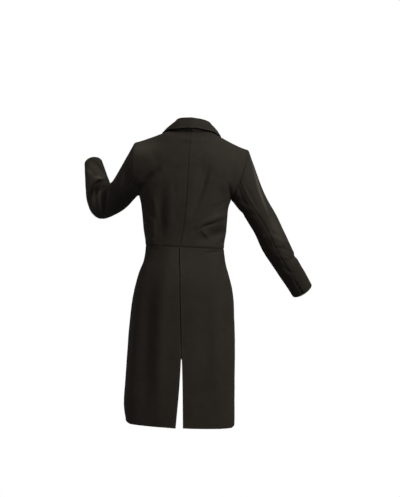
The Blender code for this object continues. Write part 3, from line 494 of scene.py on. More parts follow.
def smooth(knots, rows, at):
    """Read a smooth curve through the rows of a table, one cubic piece between neighbouring rows."""
    knots = np.asarray(knots, float)
    rows = np.asarray(rows, float)
    at = np.clip(np.asarray(at, float), knots[0], knots[-1])
    slopes = np.gradient(rows, knots, axis=0)
    i = np.clip(np.searchsorted(knots, at, side="right") - 1, 0, len(knots) - 2)
    span = knots[i + 1] - knots[i]
    t = (at - knots[i]) / span
    if rows.ndim > 1:
        extra = (1,) * (rows.ndim - 1)
        t = t.reshape(t.shape + extra)
        span = span.reshape(span.shape + extra)
    start = (1 + 2 * t) * (1 - t) ** 2 * rows[i] + t * (1 - t) ** 2 * span * slopes[i]
    end = t ** 2 * (3 - 2 * t) * rows[i + 1] + t ** 2 * (t - 1) * span * slopes[i + 1]
    return start + end


def arc(control, u):
    """Point at u (0 to 1) of a cubic arc; control holds its four points on the axis before the last."""
    u = np.asarray(u, float)[..., None]
    weights = ((1 - u) ** 3, 3 * (1 - u) ** 2 * u, 3 * (1 - u) * u ** 2, u ** 3)
    return sum(weight * control[..., k, :] for k, weight in enumerate(weights))


def unit(vectors):
    """The same ways, each of length 1."""
    return vectors / np.maximum(np.linalg.norm(vectors, axis=-1, keepdims=True), 1e-12)


def normals_of(grid):
    """Unit normals of a grid of points, from the slopes along its rows and columns."""
    along = np.gradient(grid, axis=1)
    down = np.gradient(grid, axis=0)
    return unit(np.cross(along, down))


def lean(points, centre_x):
    """Lean of the coat, its left side a little higher than its right: z + lean * (x - centre)."""
    points = points.copy()
    points[..., 2] += LEAN * (points[..., 0] - centre_x)
    return points


def armhole(side, turn):
    """Points of the armhole; turn 0 is the shoulder tip, 0.25 the back, 0.5 the underarm.

    An ellipse through the tip and the underarm point, as deep as its table says, hollowed by sin squared.
    """
    size = ARMHOLE[side]
    tip = np.asarray(size["tip"])
    under = np.asarray(size["under"])
    angle = 2 * np.pi * np.asarray(turn)[..., None]
    depth, hollow = np.where(np.sin(angle) > 0, size["behind"], size["ahead"]).T[..., None]
    ring = (tip + under) / 2 + np.cos(angle) * (tip - under) / 2
    ring = ring + np.sin(angle) * depth * np.array((0, 1, 0))
    return ring - np.sin(angle) ** 2 * hollow * np.array((side, 0, 0))


def armhole_mitre(side, turn):
    """Direction halfway between the body's and the sleeve's faces at the armhole seam."""
    ring = armhole(side, turn)
    size = ARMHOLE[side]
    centre = (np.asarray(size["tip"]) + np.asarray(size["under"])) / 2
    return unit(unit(ring - centre) + MITRE_LEAN * np.array((side, 0, 0)))


def quarter_ring(z, side, mid_x, mid_y, fullness):
    """Control points of a quarter of the body's ring at height z, from its middle to its side."""
    sizes = smooth(OUTLINE[:, 0], OUTLINE[:, 1:], z)
    side_x = sizes[..., 0] if side == LEFT else sizes[..., 1]
    side_y = sizes[..., 2]
    centre = np.stack([mid_x, mid_y, z], -1)
    near = np.stack([mid_x + fullness * (side_x - mid_x), mid_y, z], -1)
    far = np.stack([side_x, side_y + ROUND * (mid_y - side_y), z], -1)
    edge = np.stack([side_x, side_y, z], -1)
    back_x = smooth(CENTRE_BACK[:, 0], CENTRE_BACK[:, 1], z)
    return lean(np.stack([centre, near, far, edge], -2), back_x[..., None])


def back_quarter(z, side):
    """Back quarter of the ring, from the centre back to the side."""
    z = np.asarray(z, float)
    back_x = smooth(CENTRE_BACK[:, 0], CENTRE_BACK[:, 1], z)
    back_y = smooth(OUTLINE[:, 0], OUTLINE[:, 4], z)
    return quarter_ring(z, side, back_x, back_y, ROUND)


def front_quarter(z, side, out, front_y):
    """Front quarter of the ring, from the side to the front edge; out is the edge's way from the middle."""
    z = np.asarray(z, float)
    middle = smooth(OUTLINE[:, 0], OUTLINE[:, 1:3], z).mean(-1)
    ring = quarter_ring(z, side, middle + side * out, np.asarray(front_y, float), FRONT_ROUND)
    return ring[..., ::-1, :]


def back_controls(side):
    """Rows of control points of the back, from the waist (0) over the underarm (1) to the shoulder (2)."""
    levels = [0, 0.3, 0.6, 0.85, 1.0]
    heights = [WAIST_Z + (UNDERARM_Z - WAIST_Z) * level for level in levels]
    rows = list(back_quarter(heights, side))
    rows[-1][3] = ARMHOLE[side]["under"]
    for level, x, y, z, near_x, near_y, near_z, far_x, far_y, far_z in UPPER_BACK:
        centre = np.array((x, y, z))
        edge = armhole(side, 0.5 * (2 - level))
        near = centre + np.array((side * near_x, near_y, near_z))
        far = edge + np.array((side * far_x, far_y, far_z))
        rows.append(np.stack([centre, near, far, edge]))
        levels.append(level)
    rows.append(SHOULDER[side])
    levels.append(2.0)
    return np.array(levels), np.array(rows)


def shoulder_half(side):
    """Control points of the shoulder seam alone, from the tip to the neck, cut from the longer arc."""
    start = NECK_COLUMNS / BACK_COLUMNS
    a, b, c, d = SHOULDER[side]
    ab, bc, cd = a + (b - a) * start, b + (c - b) * start, c + (d - c) * start
    abc, bcd = ab + (bc - ab) * start, bc + (cd - bc) * start
    neck = abc + (bcd - abc) * start
    return np.stack([d, cd, bcd, neck])


def front_controls(side):
    """Rows of control points of the forepart, each from the side seam or armhole to the front edge."""
    shoulder = shoulder_half(side)
    levels, rows = [], []
    for level, out, y, z in FRONT_EDGE:
        step_in = UNDER_STEP * np.clip((0.9 - level) / 0.5, 0, 1) if side == RIGHT else 0
        if level <= 1:
            row = front_quarter(z, side, out, y + step_in)
        else:
            far_x, far_y, far_z, near_x, near_y, near_z = UPPER_FRONT[UPPER_FRONT[:, 0] == level][0, 1:]
            edge = armhole(side, 1 - 0.5 * (2 - level))
            front = np.array((UNDERARM_MIDDLE * (2 - level) + side * out, y, z))
            far = edge + np.array((side * far_x, far_y, far_z))
            near = front + np.array((side * near_x, near_y, near_z))
            row = np.stack([edge, far, near, front])
        if level == 1:
            row[0] = ARMHOLE[side]["under"]
            row[1] = row[0] + np.array((-0.032 * side, -0.048, 0))
        levels.append(level)
        rows.append(row)
    levels.append(2.0)
    rows.append(shoulder)
    return np.array(levels), np.array(rows)


def back_points(side, level, u):
    """Points of the back; u runs from the centre back (0) to the side seam and armhole (1)."""
    levels, rows = back_controls(side)
    return arc(smooth(levels, rows, level), u)


def front_points(side, level, u):
    """Points of the forepart; u runs from the side seam and armhole (0) to the front edge (1)."""
    levels, rows = front_controls(side)
    return arc(smooth(levels, rows, level), u)


def sleeve_rings(side, turns):
    """Rings of a sleeve, one row each: the armhole first, then the table's flattened circles."""
    table = SLEEVE_TABLE[side]
    size = ARMHOLE[side]
    first = (np.asarray(size["tip"]) + np.asarray(size["under"])) / 2
    centres = np.vstack([first, table[:, :3]])
    length = np.concatenate([[0], np.cumsum(np.linalg.norm(np.diff(centres, axis=0), axis=1))])
    tangents = unit(np.gradient(centres, length, axis=0))[1:]
    outward = unit(table[:, 3:6] - np.sum(table[:, 3:6] * tangents, 1, keepdims=True) * tangents)
    elbow = np.cross(outward, tangents) * side
    angle = 2 * np.pi * turns
    rings = [armhole(side, turns)]
    for k in range(len(table)):
        out_radius, elbow_radius, crook_radius = table[k, 6:9]
        depth = np.where(np.sin(angle) > 0, elbow_radius, crook_radius)
        ring = table[k, :3] + (out_radius * np.cos(angle))[:, None] * outward[k]
        rings.append(ring + (depth * np.sin(angle))[:, None] * elbow[k])
    return length, np.array(rings)


def lifted(points, side, place, table):
    """Points of a body surface read from a table of places, moved out by the table's lift."""
    level, u, lift = smooth(table[:, 0], table[:, 1:], place).T
    step = 0.02
    patch = points(side, level[None] + np.array((-step, 0))[:, None], u[None])
    beside = points(side, level, u + step)
    face = unit(np.cross(patch[1] - patch[0], beside - patch[1]))
    return patch[1] + lift[:, None] * face


def spread(count, gather=0.6):
    """Steps from 0 to 1 gathered towards both ends: t - gather * sin(2 pi t) / (2 pi)."""
    t = np.linspace(0, 1, count + 1)
    return t - gather * np.sin(2 * np.pi * t) / (2 * np.pi)


def body_levels():
    """Levels of the body's rows, gathered at waist and shoulder: s^1.3 up to 1, then 2 - (1 - s)^1.3."""
    gather = 1.3
    lower = np.linspace(0, 1, LOWER_ROWS + 1)[:-1] ** gather
    upper = 2 - (1 - np.linspace(0, 1, UPPER_ROWS + 1)) ** gather
    return np.concatenate([lower, upper])


def edge_line(side, level, behind):
    """Seam at the side: the body ring's widest point below the underarm, the armhole's ellipse above it."""
    low = np.clip(level, 0, 1)
    ends = back_quarter(WAIST_Z + (UNDERARM_Z - WAIST_Z) * np.array((0.0, 1.0)), side)[1, 3]
    seam = back_quarter(WAIST_Z + (UNDERARM_Z - WAIST_Z) * low, side)[:, 3]
    seam = seam + (np.asarray(ARMHOLE[side]["under"]) - ends) * low[:, None] ** 6
    turn = 0.5 * (2 - np.clip(level, 1, 2))
    ring = armhole(side, turn if behind else 1 - turn)
    return np.where((level <= 1)[:, None], seam, ring)


def back_form(side):
    """Back half: cubic arcs across, read along the height, drawn to the side line by u^8."""
    levels = body_levels()
    level, u = np.meshgrid(levels, spread(BACK_ACROSS), indexing="ij")
    across = np.clip(u * BACK_COLUMNS / NECK_COLUMNS, 0, 1)
    top = NECK_LEVEL + (2 - NECK_LEVEL) * (1 - np.sqrt(1 - across ** 2))
    level = np.where(level > 1, 1 + (level - 1) * (top - 1), level)
    surface = back_points(side, level, u)
    line = edge_line(side, levels, True)
    return surface + (line - surface[:, -1])[:, None] * u[..., None] ** 8


def front_form(side):
    """Forepart: cubic arcs from the side line to the front edge, drawn to that line by (1 - u)^8."""
    levels = body_levels()
    level, u = np.meshgrid(levels, spread(FRONT_ACROSS), indexing="ij")
    surface = front_points(side, level, u)
    line = edge_line(side, levels, False)
    return surface + (line - surface[:, 0])[:, None] * (1 - u[..., None]) ** 8


def skirt_form(side):
    """Skirt: the body's ring at each height from the vent (0) over the side (1) to the cut-away edge (2).

    The vent opens by half its gap * exp(-(u/0.10)^2) on each side.
    """
    heights = WAIST_Z + (HEM_Z - WAIST_Z) * spread(SKIRT_DOWN, 0.5)
    back_u = spread(SKIRT_BACK * 2, 0.5)[:SKIRT_BACK + 1] * 2
    front_u = spread(SKIRT_FRONT * 2, 0.5)[SKIRT_FRONT:] * 2
    z, u = np.meshgrid(heights, np.concatenate([back_u, front_u[1:]]), indexing="ij")
    column = 1 if side == LEFT else 2
    u = u * smooth(FRONT_CUT[:, 0], FRONT_CUT[:, column], z) / 2
    half_gap = smooth(VENT[:, 0], VENT[:, column], z)
    overlap = np.clip((z - WAIST_Z + 0.12) / 0.12, 0, 1) ** 2
    front_y = smooth(OUTLINE[:, 0], OUTLINE[:, 5], z)
    if side == RIGHT:
        front_y = front_y + UNDER_STEP * overlap
    back = back_quarter(z, side)
    front = front_quarter(z, side, -FRONT_OVERLAP * overlap, front_y)
    grid = np.where((u <= 1)[..., None], arc(back, np.clip(u, 0, 1)), arc(front, np.clip(u - 1, 0, 1)))
    grid[..., 0] += side * half_gap * np.exp(-(u / 0.10) ** 2)
    return grid


def sleeve_form(side, turns):
    """Sleeve between two seams: flattened circles along the arm, with wrung folds along a helix."""
    length, rings = sleeve_rings(side, turns)
    share = spread(SLEEVE_ALONG, 0.45)
    grid = smooth(length / length[-1], rings, share)
    normals = normals_of(grid) * -side
    along = share[:, None] * length[-1]
    moved = grid.copy()
    for place0, turn0, place1, turn1, width, depth in SLEEVE_FOLDS[side]:
        middle = (turn0 + turn1) / 2
        turn = (turns[None, :] - middle + 0.5) % 1 - 0.5
        reach = turn / (abs(turn1 - turn0) / 2)
        across = np.clip(reach * np.sign(turn1 - turn0), -1, 1)
        place = length[-1] * (place0 + (place1 - place0) * (across + 1) / 2)
        fade = np.exp(-np.clip(np.abs(reach) - 0.6, 0, None) ** 2 / 0.12)
        height = WRUNG_SHARE[side] * depth * fade * np.exp(-((along - place) / width) ** 2)
        moved += height[..., None] * normals
    return moved


def seen(points):
    """Where a point appears from the viewing place: x and z at which its line of sight crosses y = 0."""
    scale = EYE[1] / (EYE[1] - points[..., 1])
    return EYE[[0, 2]] + (points[..., [0, 2]] - EYE[[0, 2]]) * scale[..., None]


def distance_to(flat, path):
    """Signed distance to a smooth line through the path's points, and the share of its length there."""
    path = np.asarray(path, float)
    knots = np.linspace(0, 1, len(path))
    line = smooth(knots, path, np.linspace(0, 1, 6 * len(path)))
    nearest = np.full(flat.shape[:-1], np.inf)
    signed = np.zeros(flat.shape[:-1])
    share = np.zeros(flat.shape[:-1])
    for k in range(len(line) - 1):
        run = line[k + 1] - line[k]
        offset = flat - line[k]
        t = np.clip((offset @ run) / (run @ run), 0, 1)
        gap = offset - t[..., None] * run
        away = np.linalg.norm(gap, axis=-1)
        side = np.sign(run[0] * gap[..., 1] - run[1] * gap[..., 0])
        closer = away < nearest
        nearest = np.where(closer, away, nearest)
        signed = np.where(closer, away * side, signed)
        share = np.where(closer, (k + t) / (len(line) - 1), share)
    return signed, share


def crease_depth(flat, path, width, depth, lip, deepest):
    """Height of one soft crease: depth * taper * (exp(-(d/w)^2) - lip * exp(-((d - 1.8 w) / 1.3 w)^2)).

    The taper rises from 0.25 at each end to 1 at the deepest share of the path. The width w narrows
    towards the ends by 0.75 + 0.25 * taper.
    """
    away, share = distance_to(flat, path)
    taper = np.where(share < deepest, share / deepest, (1 - share) / (1 - deepest))
    taper = 0.25 + 0.75 * np.sin(np.pi / 2 * np.clip(taper, 0, 1))
    wide = width * (0.75 + 0.25 * taper)
    trough = np.exp(-(away / wide) ** 2)
    bank = np.exp(-((away - np.sign(lip) * 1.8 * wide) / (1.3 * wide)) ** 2)
    return depth * taper * (trough - abs(lip) * bank)


def unevenness(points, size, seed):
    """Gentle hand-made unevenness from -1 to 1: the mean of ten sine waves of seeded ways and phases."""
    dice = np.random.default_rng(seed)
    total = np.zeros(points.shape[:-1])
    for _ in range(10):
        way = dice.normal(size=3) * np.array((1.0, 1.0, 0.55))
        way = way / np.linalg.norm(way)
        length = size * dice.uniform(0.7, 1.5)
        phase = dice.uniform(0, 2 * np.pi)
        total += np.sin(2 * np.pi * (points @ way) / length + phase)
    return total / 10


def edge_distances(grid):
    """Distance from each point to the grid's four edge lines, taken along its own row or column."""
    return {
        "first_row": np.linalg.norm(grid - grid[:1], axis=-1),
        "last_row": np.linalg.norm(grid - grid[-1:], axis=-1),
        "first_column": np.linalg.norm(grid - grid[:, :1], axis=-1),
        "last_column": np.linalg.norm(grid - grid[:, -1:], axis=-1),
    }


def press_folds(grid, face, key, seams):
    """Press a piece's own creases and a fine unevenness in, fading to nothing within 12 mm of its seams.

    A crease that shows from behind moves the cloth along y, so that it stays where it is seen. The others
    move it along its face. Gives the moved grid, and the strength of the painted highlight, from 0 to 1.
    """
    fade = np.ones(grid.shape[:2])
    for edge, away in edge_distances(grid).items():
        if edge in seams:
            fade *= np.clip(away / CREASE_FADE, 0, 1)
    facing = np.clip(face[..., 1] * 2.5 + 0.6, 0, 1)
    flat = seen(grid)
    height = np.zeros(grid.shape[:2])
    shown = np.zeros(grid.shape[:2])
    painted_highlight = np.zeros(grid.shape[:2])
    for piece, path, width, depth, lip, deepest in CREASES:
        if piece == key:
            shown += crease_depth(flat, path, width, depth, lip, deepest) * facing
    # Painted highlight: a lighter band of colour along ridges where the light catches them
    for piece, path, width, strength, strongest in PAINTED_HIGHLIGHTS:
        if piece == key:
            painted_highlight = np.maximum(painted_highlight, crease_depth(flat, path, width, strength, 0, strongest) * facing)
    for piece, path, width, depth, lip, deepest in HIDDEN_CREASES:
        if piece == key:
            height += crease_depth(grid[..., [0, 2]], path, width, depth, lip, deepest) * (1 - facing)
    height += 0.0011 * unevenness(grid, 0.085, 11) + 0.0005 * unevenness(grid, 0.030, 12)
    shown = (shown * fade)[..., None] * np.array((0, 1, 0))
    return grid + (height * fade)[..., None] * face + shown, painted_highlight


def body_creases(grid, face, key, free_edges):
    """Press the long folds that the solids carry: Gaussian troughs between two points, none at a seam."""
    fade = np.ones(grid.shape[:2])
    for edge, away in edge_distances(grid).items():
        if edge not in free_edges:
            fade *= np.clip(away / FOLD_FADE, 0, 1) ** 0.7
    moved = grid.copy()
    for folded, x0, z0, x1, z1, width, depth in BODY_FOLDS:
        if folded == key:
            start = np.array((x0, z0))
            run = np.array((x1, z1)) - start
            flat = grid[..., [0, 2]] - start
            share = np.clip((flat @ run) / (run @ run), 0, 1)
            away = np.linalg.norm(flat - share[..., None] * run, axis=-1)
            taper = 0.35 + 0.65 * np.sin(np.pi * share)
            moved += (depth * taper * fade * np.exp(-(away / width) ** 2))[..., None] * face
    return moved


def turn_edges(grid, face, seams):
    """Roll the cloth down into each seam by exp(-(d/2.4mm)^2), with the swell of the allowance beside it."""
    height = np.zeros(grid.shape[:2])
    for edge, away in edge_distances(grid).items():
        if edge in seams:
            height -= ROLL_DEPTH * np.exp(-(away / ROLL_WIDTH) ** 2)
            height += SWELL_HEIGHT * np.exp(-((away - SWELL_PLACE) / SWELL_WIDTH) ** 2)
    return grid + height[..., None] * face


def pull_in(grid, seams):
    """Draw the seam edges of a piece back by half the gap, along the piece's own surface."""
    distance = SEAM_GAP / 2
    grid = grid.copy()
    if "first_row" in seams:
        grid[0] += distance * unit(grid[1] - grid[0])
    if "last_row" in seams:
        grid[-1] += distance * unit(grid[-2] - grid[-1])
    if "first_column" in seams:
        grid[:, 0] += distance * unit(grid[:, 1] - grid[:, 0])
    if "last_column" in seams:
        grid[:, -1] += distance * unit(grid[:, -2] - grid[:, -1])
    return grid


def running_length(grid, axis):
    """Distance of each point from the grid's first edge, summed along its own row (1) or column (0)."""
    steps = np.linalg.norm(np.diff(grid, axis=axis), axis=-1)
    return np.concatenate([0 * steps.take([0], axis), np.cumsum(steps, axis)], axis)


def closed_mesh(name, outer, face, seams, thickness):
    """Mesh of a thin shell: outer grid, inner grid = outer - thickness * face, and a rim between them.

    The rim bulges 0.4 thickness outwards at free edges and is plain at seams. UV is the distance along the
    rows and columns in metres. Gives the mesh, and the places in the grid that the rim goes round.
    """
    rows, columns = outer.shape[:2]
    count = rows * columns
    index = np.arange(count).reshape(rows, columns)
    inner = outer - thickness * face
    away = np.zeros_like(outer)
    for edge, border, inside in (("first_row", (0, slice(None)), (1, slice(None))),
                                 ("last_row", (-1, slice(None)), (-2, slice(None))),
                                 ("first_column", (slice(None), 0), (slice(None), 1)),
                                 ("last_column", (slice(None), -1), (slice(None), -2))):
        if edge not in seams:
            away[border] += unit(outer[border] - outer[inside])
    loop = np.concatenate([index[0], index[1:, -1], index[-1, -2::-1], index[-2:0:-1, 0]])
    middle = ((outer + inner) / 2 + RIM_BULGE * thickness * unit(away)).reshape(-1, 3)[loop]
    points = np.concatenate([outer.reshape(-1, 3), inner.reshape(-1, 3), middle])

    quads = np.stack([index[:-1, :-1], index[:-1, 1:], index[1:, 1:], index[1:, :-1]], -1).reshape(-1, 4)
    ahead = np.roll(loop, -1)
    mid = 2 * count + np.arange(len(loop))
    mid_ahead = np.roll(mid, -1)
    rim = np.concatenate([np.stack([ahead, loop, mid, mid_ahead], -1),
                          np.stack([mid_ahead, mid, loop + count, ahead + count], -1)])
    faces = np.concatenate([quads, quads[:, ::-1] + count, rim])
    centre = (rows // 2, columns // 2)
    along = outer[centre[0], centre[1] + 1] - outer[centre]
    down = outer[centre[0] + 1, centre[1]] - outer[centre]
    if np.cross(along, down) @ face[centre] < 0:
        faces = faces[:, ::-1]
    mesh = bpy.data.meshes.new(name)
    mesh.from_pydata(points.tolist(), [], faces.tolist())
    mesh.update()
    mesh.polygons.foreach_set("use_smooth", np.ones(len(faces), bool))

    cloth_way = np.stack([running_length(outer, 1), running_length(outer, 0)], -1).reshape(-1, 2)
    cloth_way = np.concatenate([cloth_way, cloth_way, cloth_way[loop]])
    layer = mesh.uv_layers.new(name="cloth")
    layer.data.foreach_set("uv", cloth_way[faces.ravel()].astype(np.float32).ravel())
    return mesh, loop


def mark_cloth(mesh, loop, outer, seams, faint, shade, painted_highlight):
    """Write the attributes that the wool reads, each from 0 to 1.

    "seam" is the shade painted into the seams: exp(-d/2.6mm) from a seam, 0.4 of that at a faint one, and at
    least the painted shade given. "edge" is the wear and painted sheen of a free edge, exp(-d/3mm) from it,
    and "nap" is the strength of the painted highlight along ridges.
    """
    seam = np.zeros(outer.shape[:2])
    edge_wear_and_sheen = np.zeros(outer.shape[:2])
    for edge, gap in edge_distances(outer).items():
        if edge in seams:
            strength = FAINT_SHADE if edge in faint else 1.0
            seam = np.maximum(seam, strength * np.exp(-gap / SEAM_SHADE))
        else:
            edge_wear_and_sheen = np.maximum(edge_wear_and_sheen, np.exp(-gap / EDGE_WEAR_AND_SHEEN))
    seam = np.maximum(seam, shade)
    edge_wear_and_sheen = edge_wear_and_sheen * (1 - shade)
    # Attributes: "seam" carries painted shade, "edge" wear and painted sheen, "nap" a painted highlight
    for key, values in (("seam", seam), ("edge", edge_wear_and_sheen), ("nap", painted_highlight)):
        flat = np.broadcast_to(values, outer.shape[:2]).ravel()
        layer = mesh.attributes.new(key, "FLOAT", "POINT")
        layer.data.foreach_set("value", np.concatenate([flat, flat, flat[loop]]).astype(np.float32))


def shell(name, outer, face, seams, thickness=CLOTH, node=True,
          faint=(), shade=0.0, painted_highlight=0.0):
    """Closed thin shell of one piece of cloth, with its wool, its node and its flat cut."""
    mesh, loop = closed_mesh(name, outer, face, seams, thickness)
    mark_cloth(mesh, loop, outer, seams, faint, shade, painted_highlight)
    piece = bpy.data.objects.new("cloth_" + name, mesh)
    bpy.context.scene.collection.objects.link(piece)
    mesh.materials.append(WOOL)
    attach(piece, "root")
    if node:
        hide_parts(name)


def mitred(face, away, mitre):
    """Faces that blend to the mitre shared at the armhole, by exp(-d/4mm)."""
    near = np.exp(-away / MITRE_REACH)[..., None]
    return unit(face * (1 - near) + mitre * near)


def make_body(side):
    """Back and forepart of one side, their faces mitred at the armhole.

    Gives the grid and the faces of both, for the allowances behind their seams.
    """
    name = SIDE_NAME[side]
    levels = body_levels()
    upper = levels > 1
    turn = 0.5 * (2 - levels[upper])

    form = back_form(side)
    face = normals_of(form) * -side
    grid = body_creases(form, face, "back", ("first_column",))
    seams = ("first_row", "first_column", "last_column", "last_row")
    grid, painted_highlight = press_folds(grid, face, "back", ("first_row", "last_column", "last_row"))
    face = normals_of(grid) * -side
    behind = (grid, face)
    grid = turn_edges(grid, face, seams)
    face[:, 0, 0] = 0
    face = unit(face)
    away = edge_distances(grid)["last_column"]
    face[upper] = mitred(face[upper], away[upper], armhole_mitre(side, turn)[:, None])
    faint = ("first_column", "last_column") if side == LEFT else ("first_column",)
    shell("back_" + name, pull_in(grid, seams), face, seams,
          faint=faint, painted_highlight=painted_highlight)

    form = front_form(side)
    face = normals_of(form) * -side
    grid = body_creases(form, face, "front", ("last_column",))
    seams = ("first_row", "first_column", "last_row")
    grid, painted_highlight = press_folds(grid, face, "front", seams)
    face = normals_of(grid) * -side
    ahead = (grid, face)
    grid = turn_edges(grid, face, seams)
    away = edge_distances(grid)["first_column"]
    face[upper] = mitred(face[upper], away[upper], armhole_mitre(side, 1 - turn)[:, None])
    shell("front_" + name, pull_in(grid, seams), face, seams,
          painted_highlight=painted_highlight)
    return behind, ahead


def make_skirt(side):
    """Skirt of one side, hung from the waist seam, with open vent, hem and cut-away edge.

    Down the closed part of the vent its edge rolls in by exp(-(d/w)^2), and a shadow is painted on it in the
    same way.
    """
    form = skirt_form(side)
    face = normals_of(form) * side
    free = ("last_row", "first_column", "last_column")
    grid = body_creases(form, face, "skirt", free)
    grid, painted_highlight = press_folds(grid, face, "skirt", ("first_row",))
    face = normals_of(grid) * side
    grid = turn_edges(grid, face, ("first_row",))
    away = edge_distances(grid)["first_column"]
    closed = np.clip((grid[..., 2] - VENT_OPENS) / VENT_FADE, 0, 1)
    grid = grid - (VENT_DIP[side] * closed * np.exp(-(away / VENT_DIP_WIDTH) ** 2))[..., None] * face
    # Shadow painted along the closed vent's line, carried into the wool's seam attribute
    dark = closed * np.exp(-(away / VENT_SHADE[side]) ** 2)
    shell("skirt_" + SIDE_NAME[side], pull_in(grid, ("first_row",)), face, ("first_row",),
          shade=dark, painted_highlight=painted_highlight)


def make_sleeve(side):
    """Top and under sleeve: the same tube read between its two seams, one column over each seam left off."""
    name = "sleeve_" + SIDE_NAME[side]
    top = (spread(TOP_AROUND, 0.5) * 2 - 1) * ELBOW_SEAM_TURN
    under = ELBOW_SEAM_TURN + spread(UNDER_AROUND, 0.5) * (1 - 2 * ELBOW_SEAM_TURN)
    seams = ("first_row", "first_column", "last_column")
    for piece, turns in (("top", top), ("under", under)):
        step = turns[1] - turns[0]
        wide = np.concatenate([[turns[0] - step], turns, [turns[-1] + step]])
        form = sleeve_form(side, wide)
        face = normals_of(form) * -side
        grid, painted_highlight = press_folds(form, face, name, ("first_row",))
        face = normals_of(grid)[:, 1:-1] * -side
        grid = turn_edges(grid[:, 1:-1], face, seams)
        face = mitred(face, edge_distances(grid)["first_row"], armhole_mitre(side, turns))
        shell(name + "_" + piece, pull_in(grid, seams), face, seams,
              faint=seams if side == LEFT else (), painted_highlight=painted_highlight[:, 1:-1])


def make_tape(name, lines, face):
    """Seam allowance pressed open behind a seam: the given lines moved in by the cloth and 0.6 mm more."""
    grid = lines - (CLOTH + TAPE_INSET) * face
    shell(name, grid, face, (), thickness=TAPE, node=False)


def make_armhole_tape(side, behind, ahead):
    """Allowance of one armhole: two lines on the body, the seam and two lines on the sleeve, tip to tip."""
    name = SIDE_NAME[side]
    turn = 0.5 * (2 - body_levels()[LOWER_ROWS:])
    turns = np.concatenate([turn[::-1], 1 - turn[1:]])
    form = sleeve_form(side, turns)
    sleeve = press_folds(form, normals_of(form) * -side, "sleeve_" + name, ("first_row",))[0]
    body = [np.concatenate([behind[LOWER_ROWS:, -1 - step][::-1], ahead[LOWER_ROWS + 1:, step]])
            for step in ARMHOLE_TAPE_STEPS]
    lines = np.stack(body + [sleeve[2], sleeve[5]], 1)
    face = normals_of(lines)
    face = face * np.sign(np.sum(face * armhole_mitre(side, turns)[:, None]))
    make_tape("tape_armhole_" + name, lines, face)


def make_tapes(bodies):
    """Allowances of the seams at the waist, sides, armholes, sleeves, centre back and the vent's closed part.

    Their lines lie beside the seam by the offsets, times 0.7 at the waist and 1.5 at the vent. On the
    sleeves they lie by 3 times the offsets as a share of a turn. The vent's narrow towards its foot.
    """
    for side in (LEFT, RIGHT):
        name = SIDE_NAME[side]
        heights, u = np.meshgrid(WAIST_Z - 0.7 * TAPE_OFFSETS, np.linspace(0, 2, 120), indexing="ij")
        front_y = smooth(OUTLINE[:, 0], OUTLINE[:, 5], heights) + (UNDER_STEP if side == RIGHT else 0)
        back = arc(back_quarter(heights, side), np.clip(u, 0, 1))
        front = arc(front_quarter(heights, side, -FRONT_OVERLAP, front_y), np.clip(u - 1, 0, 1))
        lines = np.where((u <= 1)[..., None], back, front)
        make_tape("tape_waist_" + name, lines, normals_of(lines) * side)

        behind, ahead = bodies[side]
        low = slice(0, LOWER_ROWS + 1)
        lines, face = [np.stack([first[low, -1 - step] for step in TAPE_STEPS]
                                + [second[low, step] for step in TAPE_STEPS[1::-1]])
                       for first, second in zip(behind, ahead)]
        make_tape("tape_side_" + name, lines, face)
        make_armhole_tape(side, behind[0], ahead[0])

        for label, turn in (("elbow", ELBOW_SEAM_TURN), ("inner", 1 - ELBOW_SEAM_TURN)):
            lines = sleeve_form(side, turn + 3 * TAPE_OFFSETS)
            lines = press_folds(lines, normals_of(lines) * -side, "sleeve_" + name, ("first_row",))[0]
            face = normals_of(lines) * -side
            make_tape("tape_" + label + "_" + name, lines, face)

    left, right = bodies[LEFT][0][0], bodies[RIGHT][0][0]
    lines = [right[:, step] for step in TAPE_STEPS[:2]] + [left[:, step] for step in TAPE_STEPS[::-1]]
    lines = np.stack(lines, 1)
    face = unit(normals_of(lines) * np.array((0, -1, 0)))
    make_tape("tape_centre_back", lines, face)

    heights = np.linspace(WAIST_Z - 0.004, VENT_OPENS, 60)
    narrow = np.clip((heights - VENT_OPENS) / 0.075, 0.03, 1)
    middle = smooth(CENTRE_BACK[:, 0], CENTRE_BACK[:, 1], heights)
    depth = smooth(OUTLINE[:, 0], OUTLINE[:, 4], heights)
    lines = [np.stack([middle + x * narrow, depth - 0.0024, heights], -1) for x in 1.5 * TAPE_OFFSETS]
    lines = np.stack(lines, 1)
    make_tape("tape_vent", lines, np.broadcast_to(np.array((0.0, 1.0, 0.0)), lines.shape))


def make_lapel(side):
    """Lapel on the forepart: the forepart's own points, lifted by 3 mm * exp(-across / 0.25) beside the fold.

    The peak rises by across^2 and is lifted by 3 mm * across, both times the sixth power of the way up.
    """
    levels = np.linspace(LAPEL[0, 0], LAPEL[-1, 0], LAPEL_ROWS)
    width = smooth(LAPEL[:, 0], LAPEL[:, 1], levels)
    level, across = np.meshgrid(levels, spread(LAPEL_ACROSS, 0.5), indexing="ij")
    rise = np.linspace(0, 1, len(levels))[:, None] ** 6
    level = level + LAPEL_PEAK * across ** 2 * rise
    under = front_points(side, level, 1 - across * width[:, None])
    face = normals_of(under) * side
    lift = CLOTH + LAPEL_LIFT + 0.003 * np.exp(-across / 0.25) + 0.003 * rise * across
    lift = lift + 0.0004 * unevenness(under, 0.05, 21)
    grid = under + lift[..., None] * face
    shell("lapel_" + SIDE_NAME[side], grid, face, ())


def past_shoulder(place):
    """Share of the forepart where a line passes from the back to it, 0 up to place 0.47 and 1 from 0.53."""
    return np.clip((place - 0.47) / 0.06, 0, 1)[:, None]


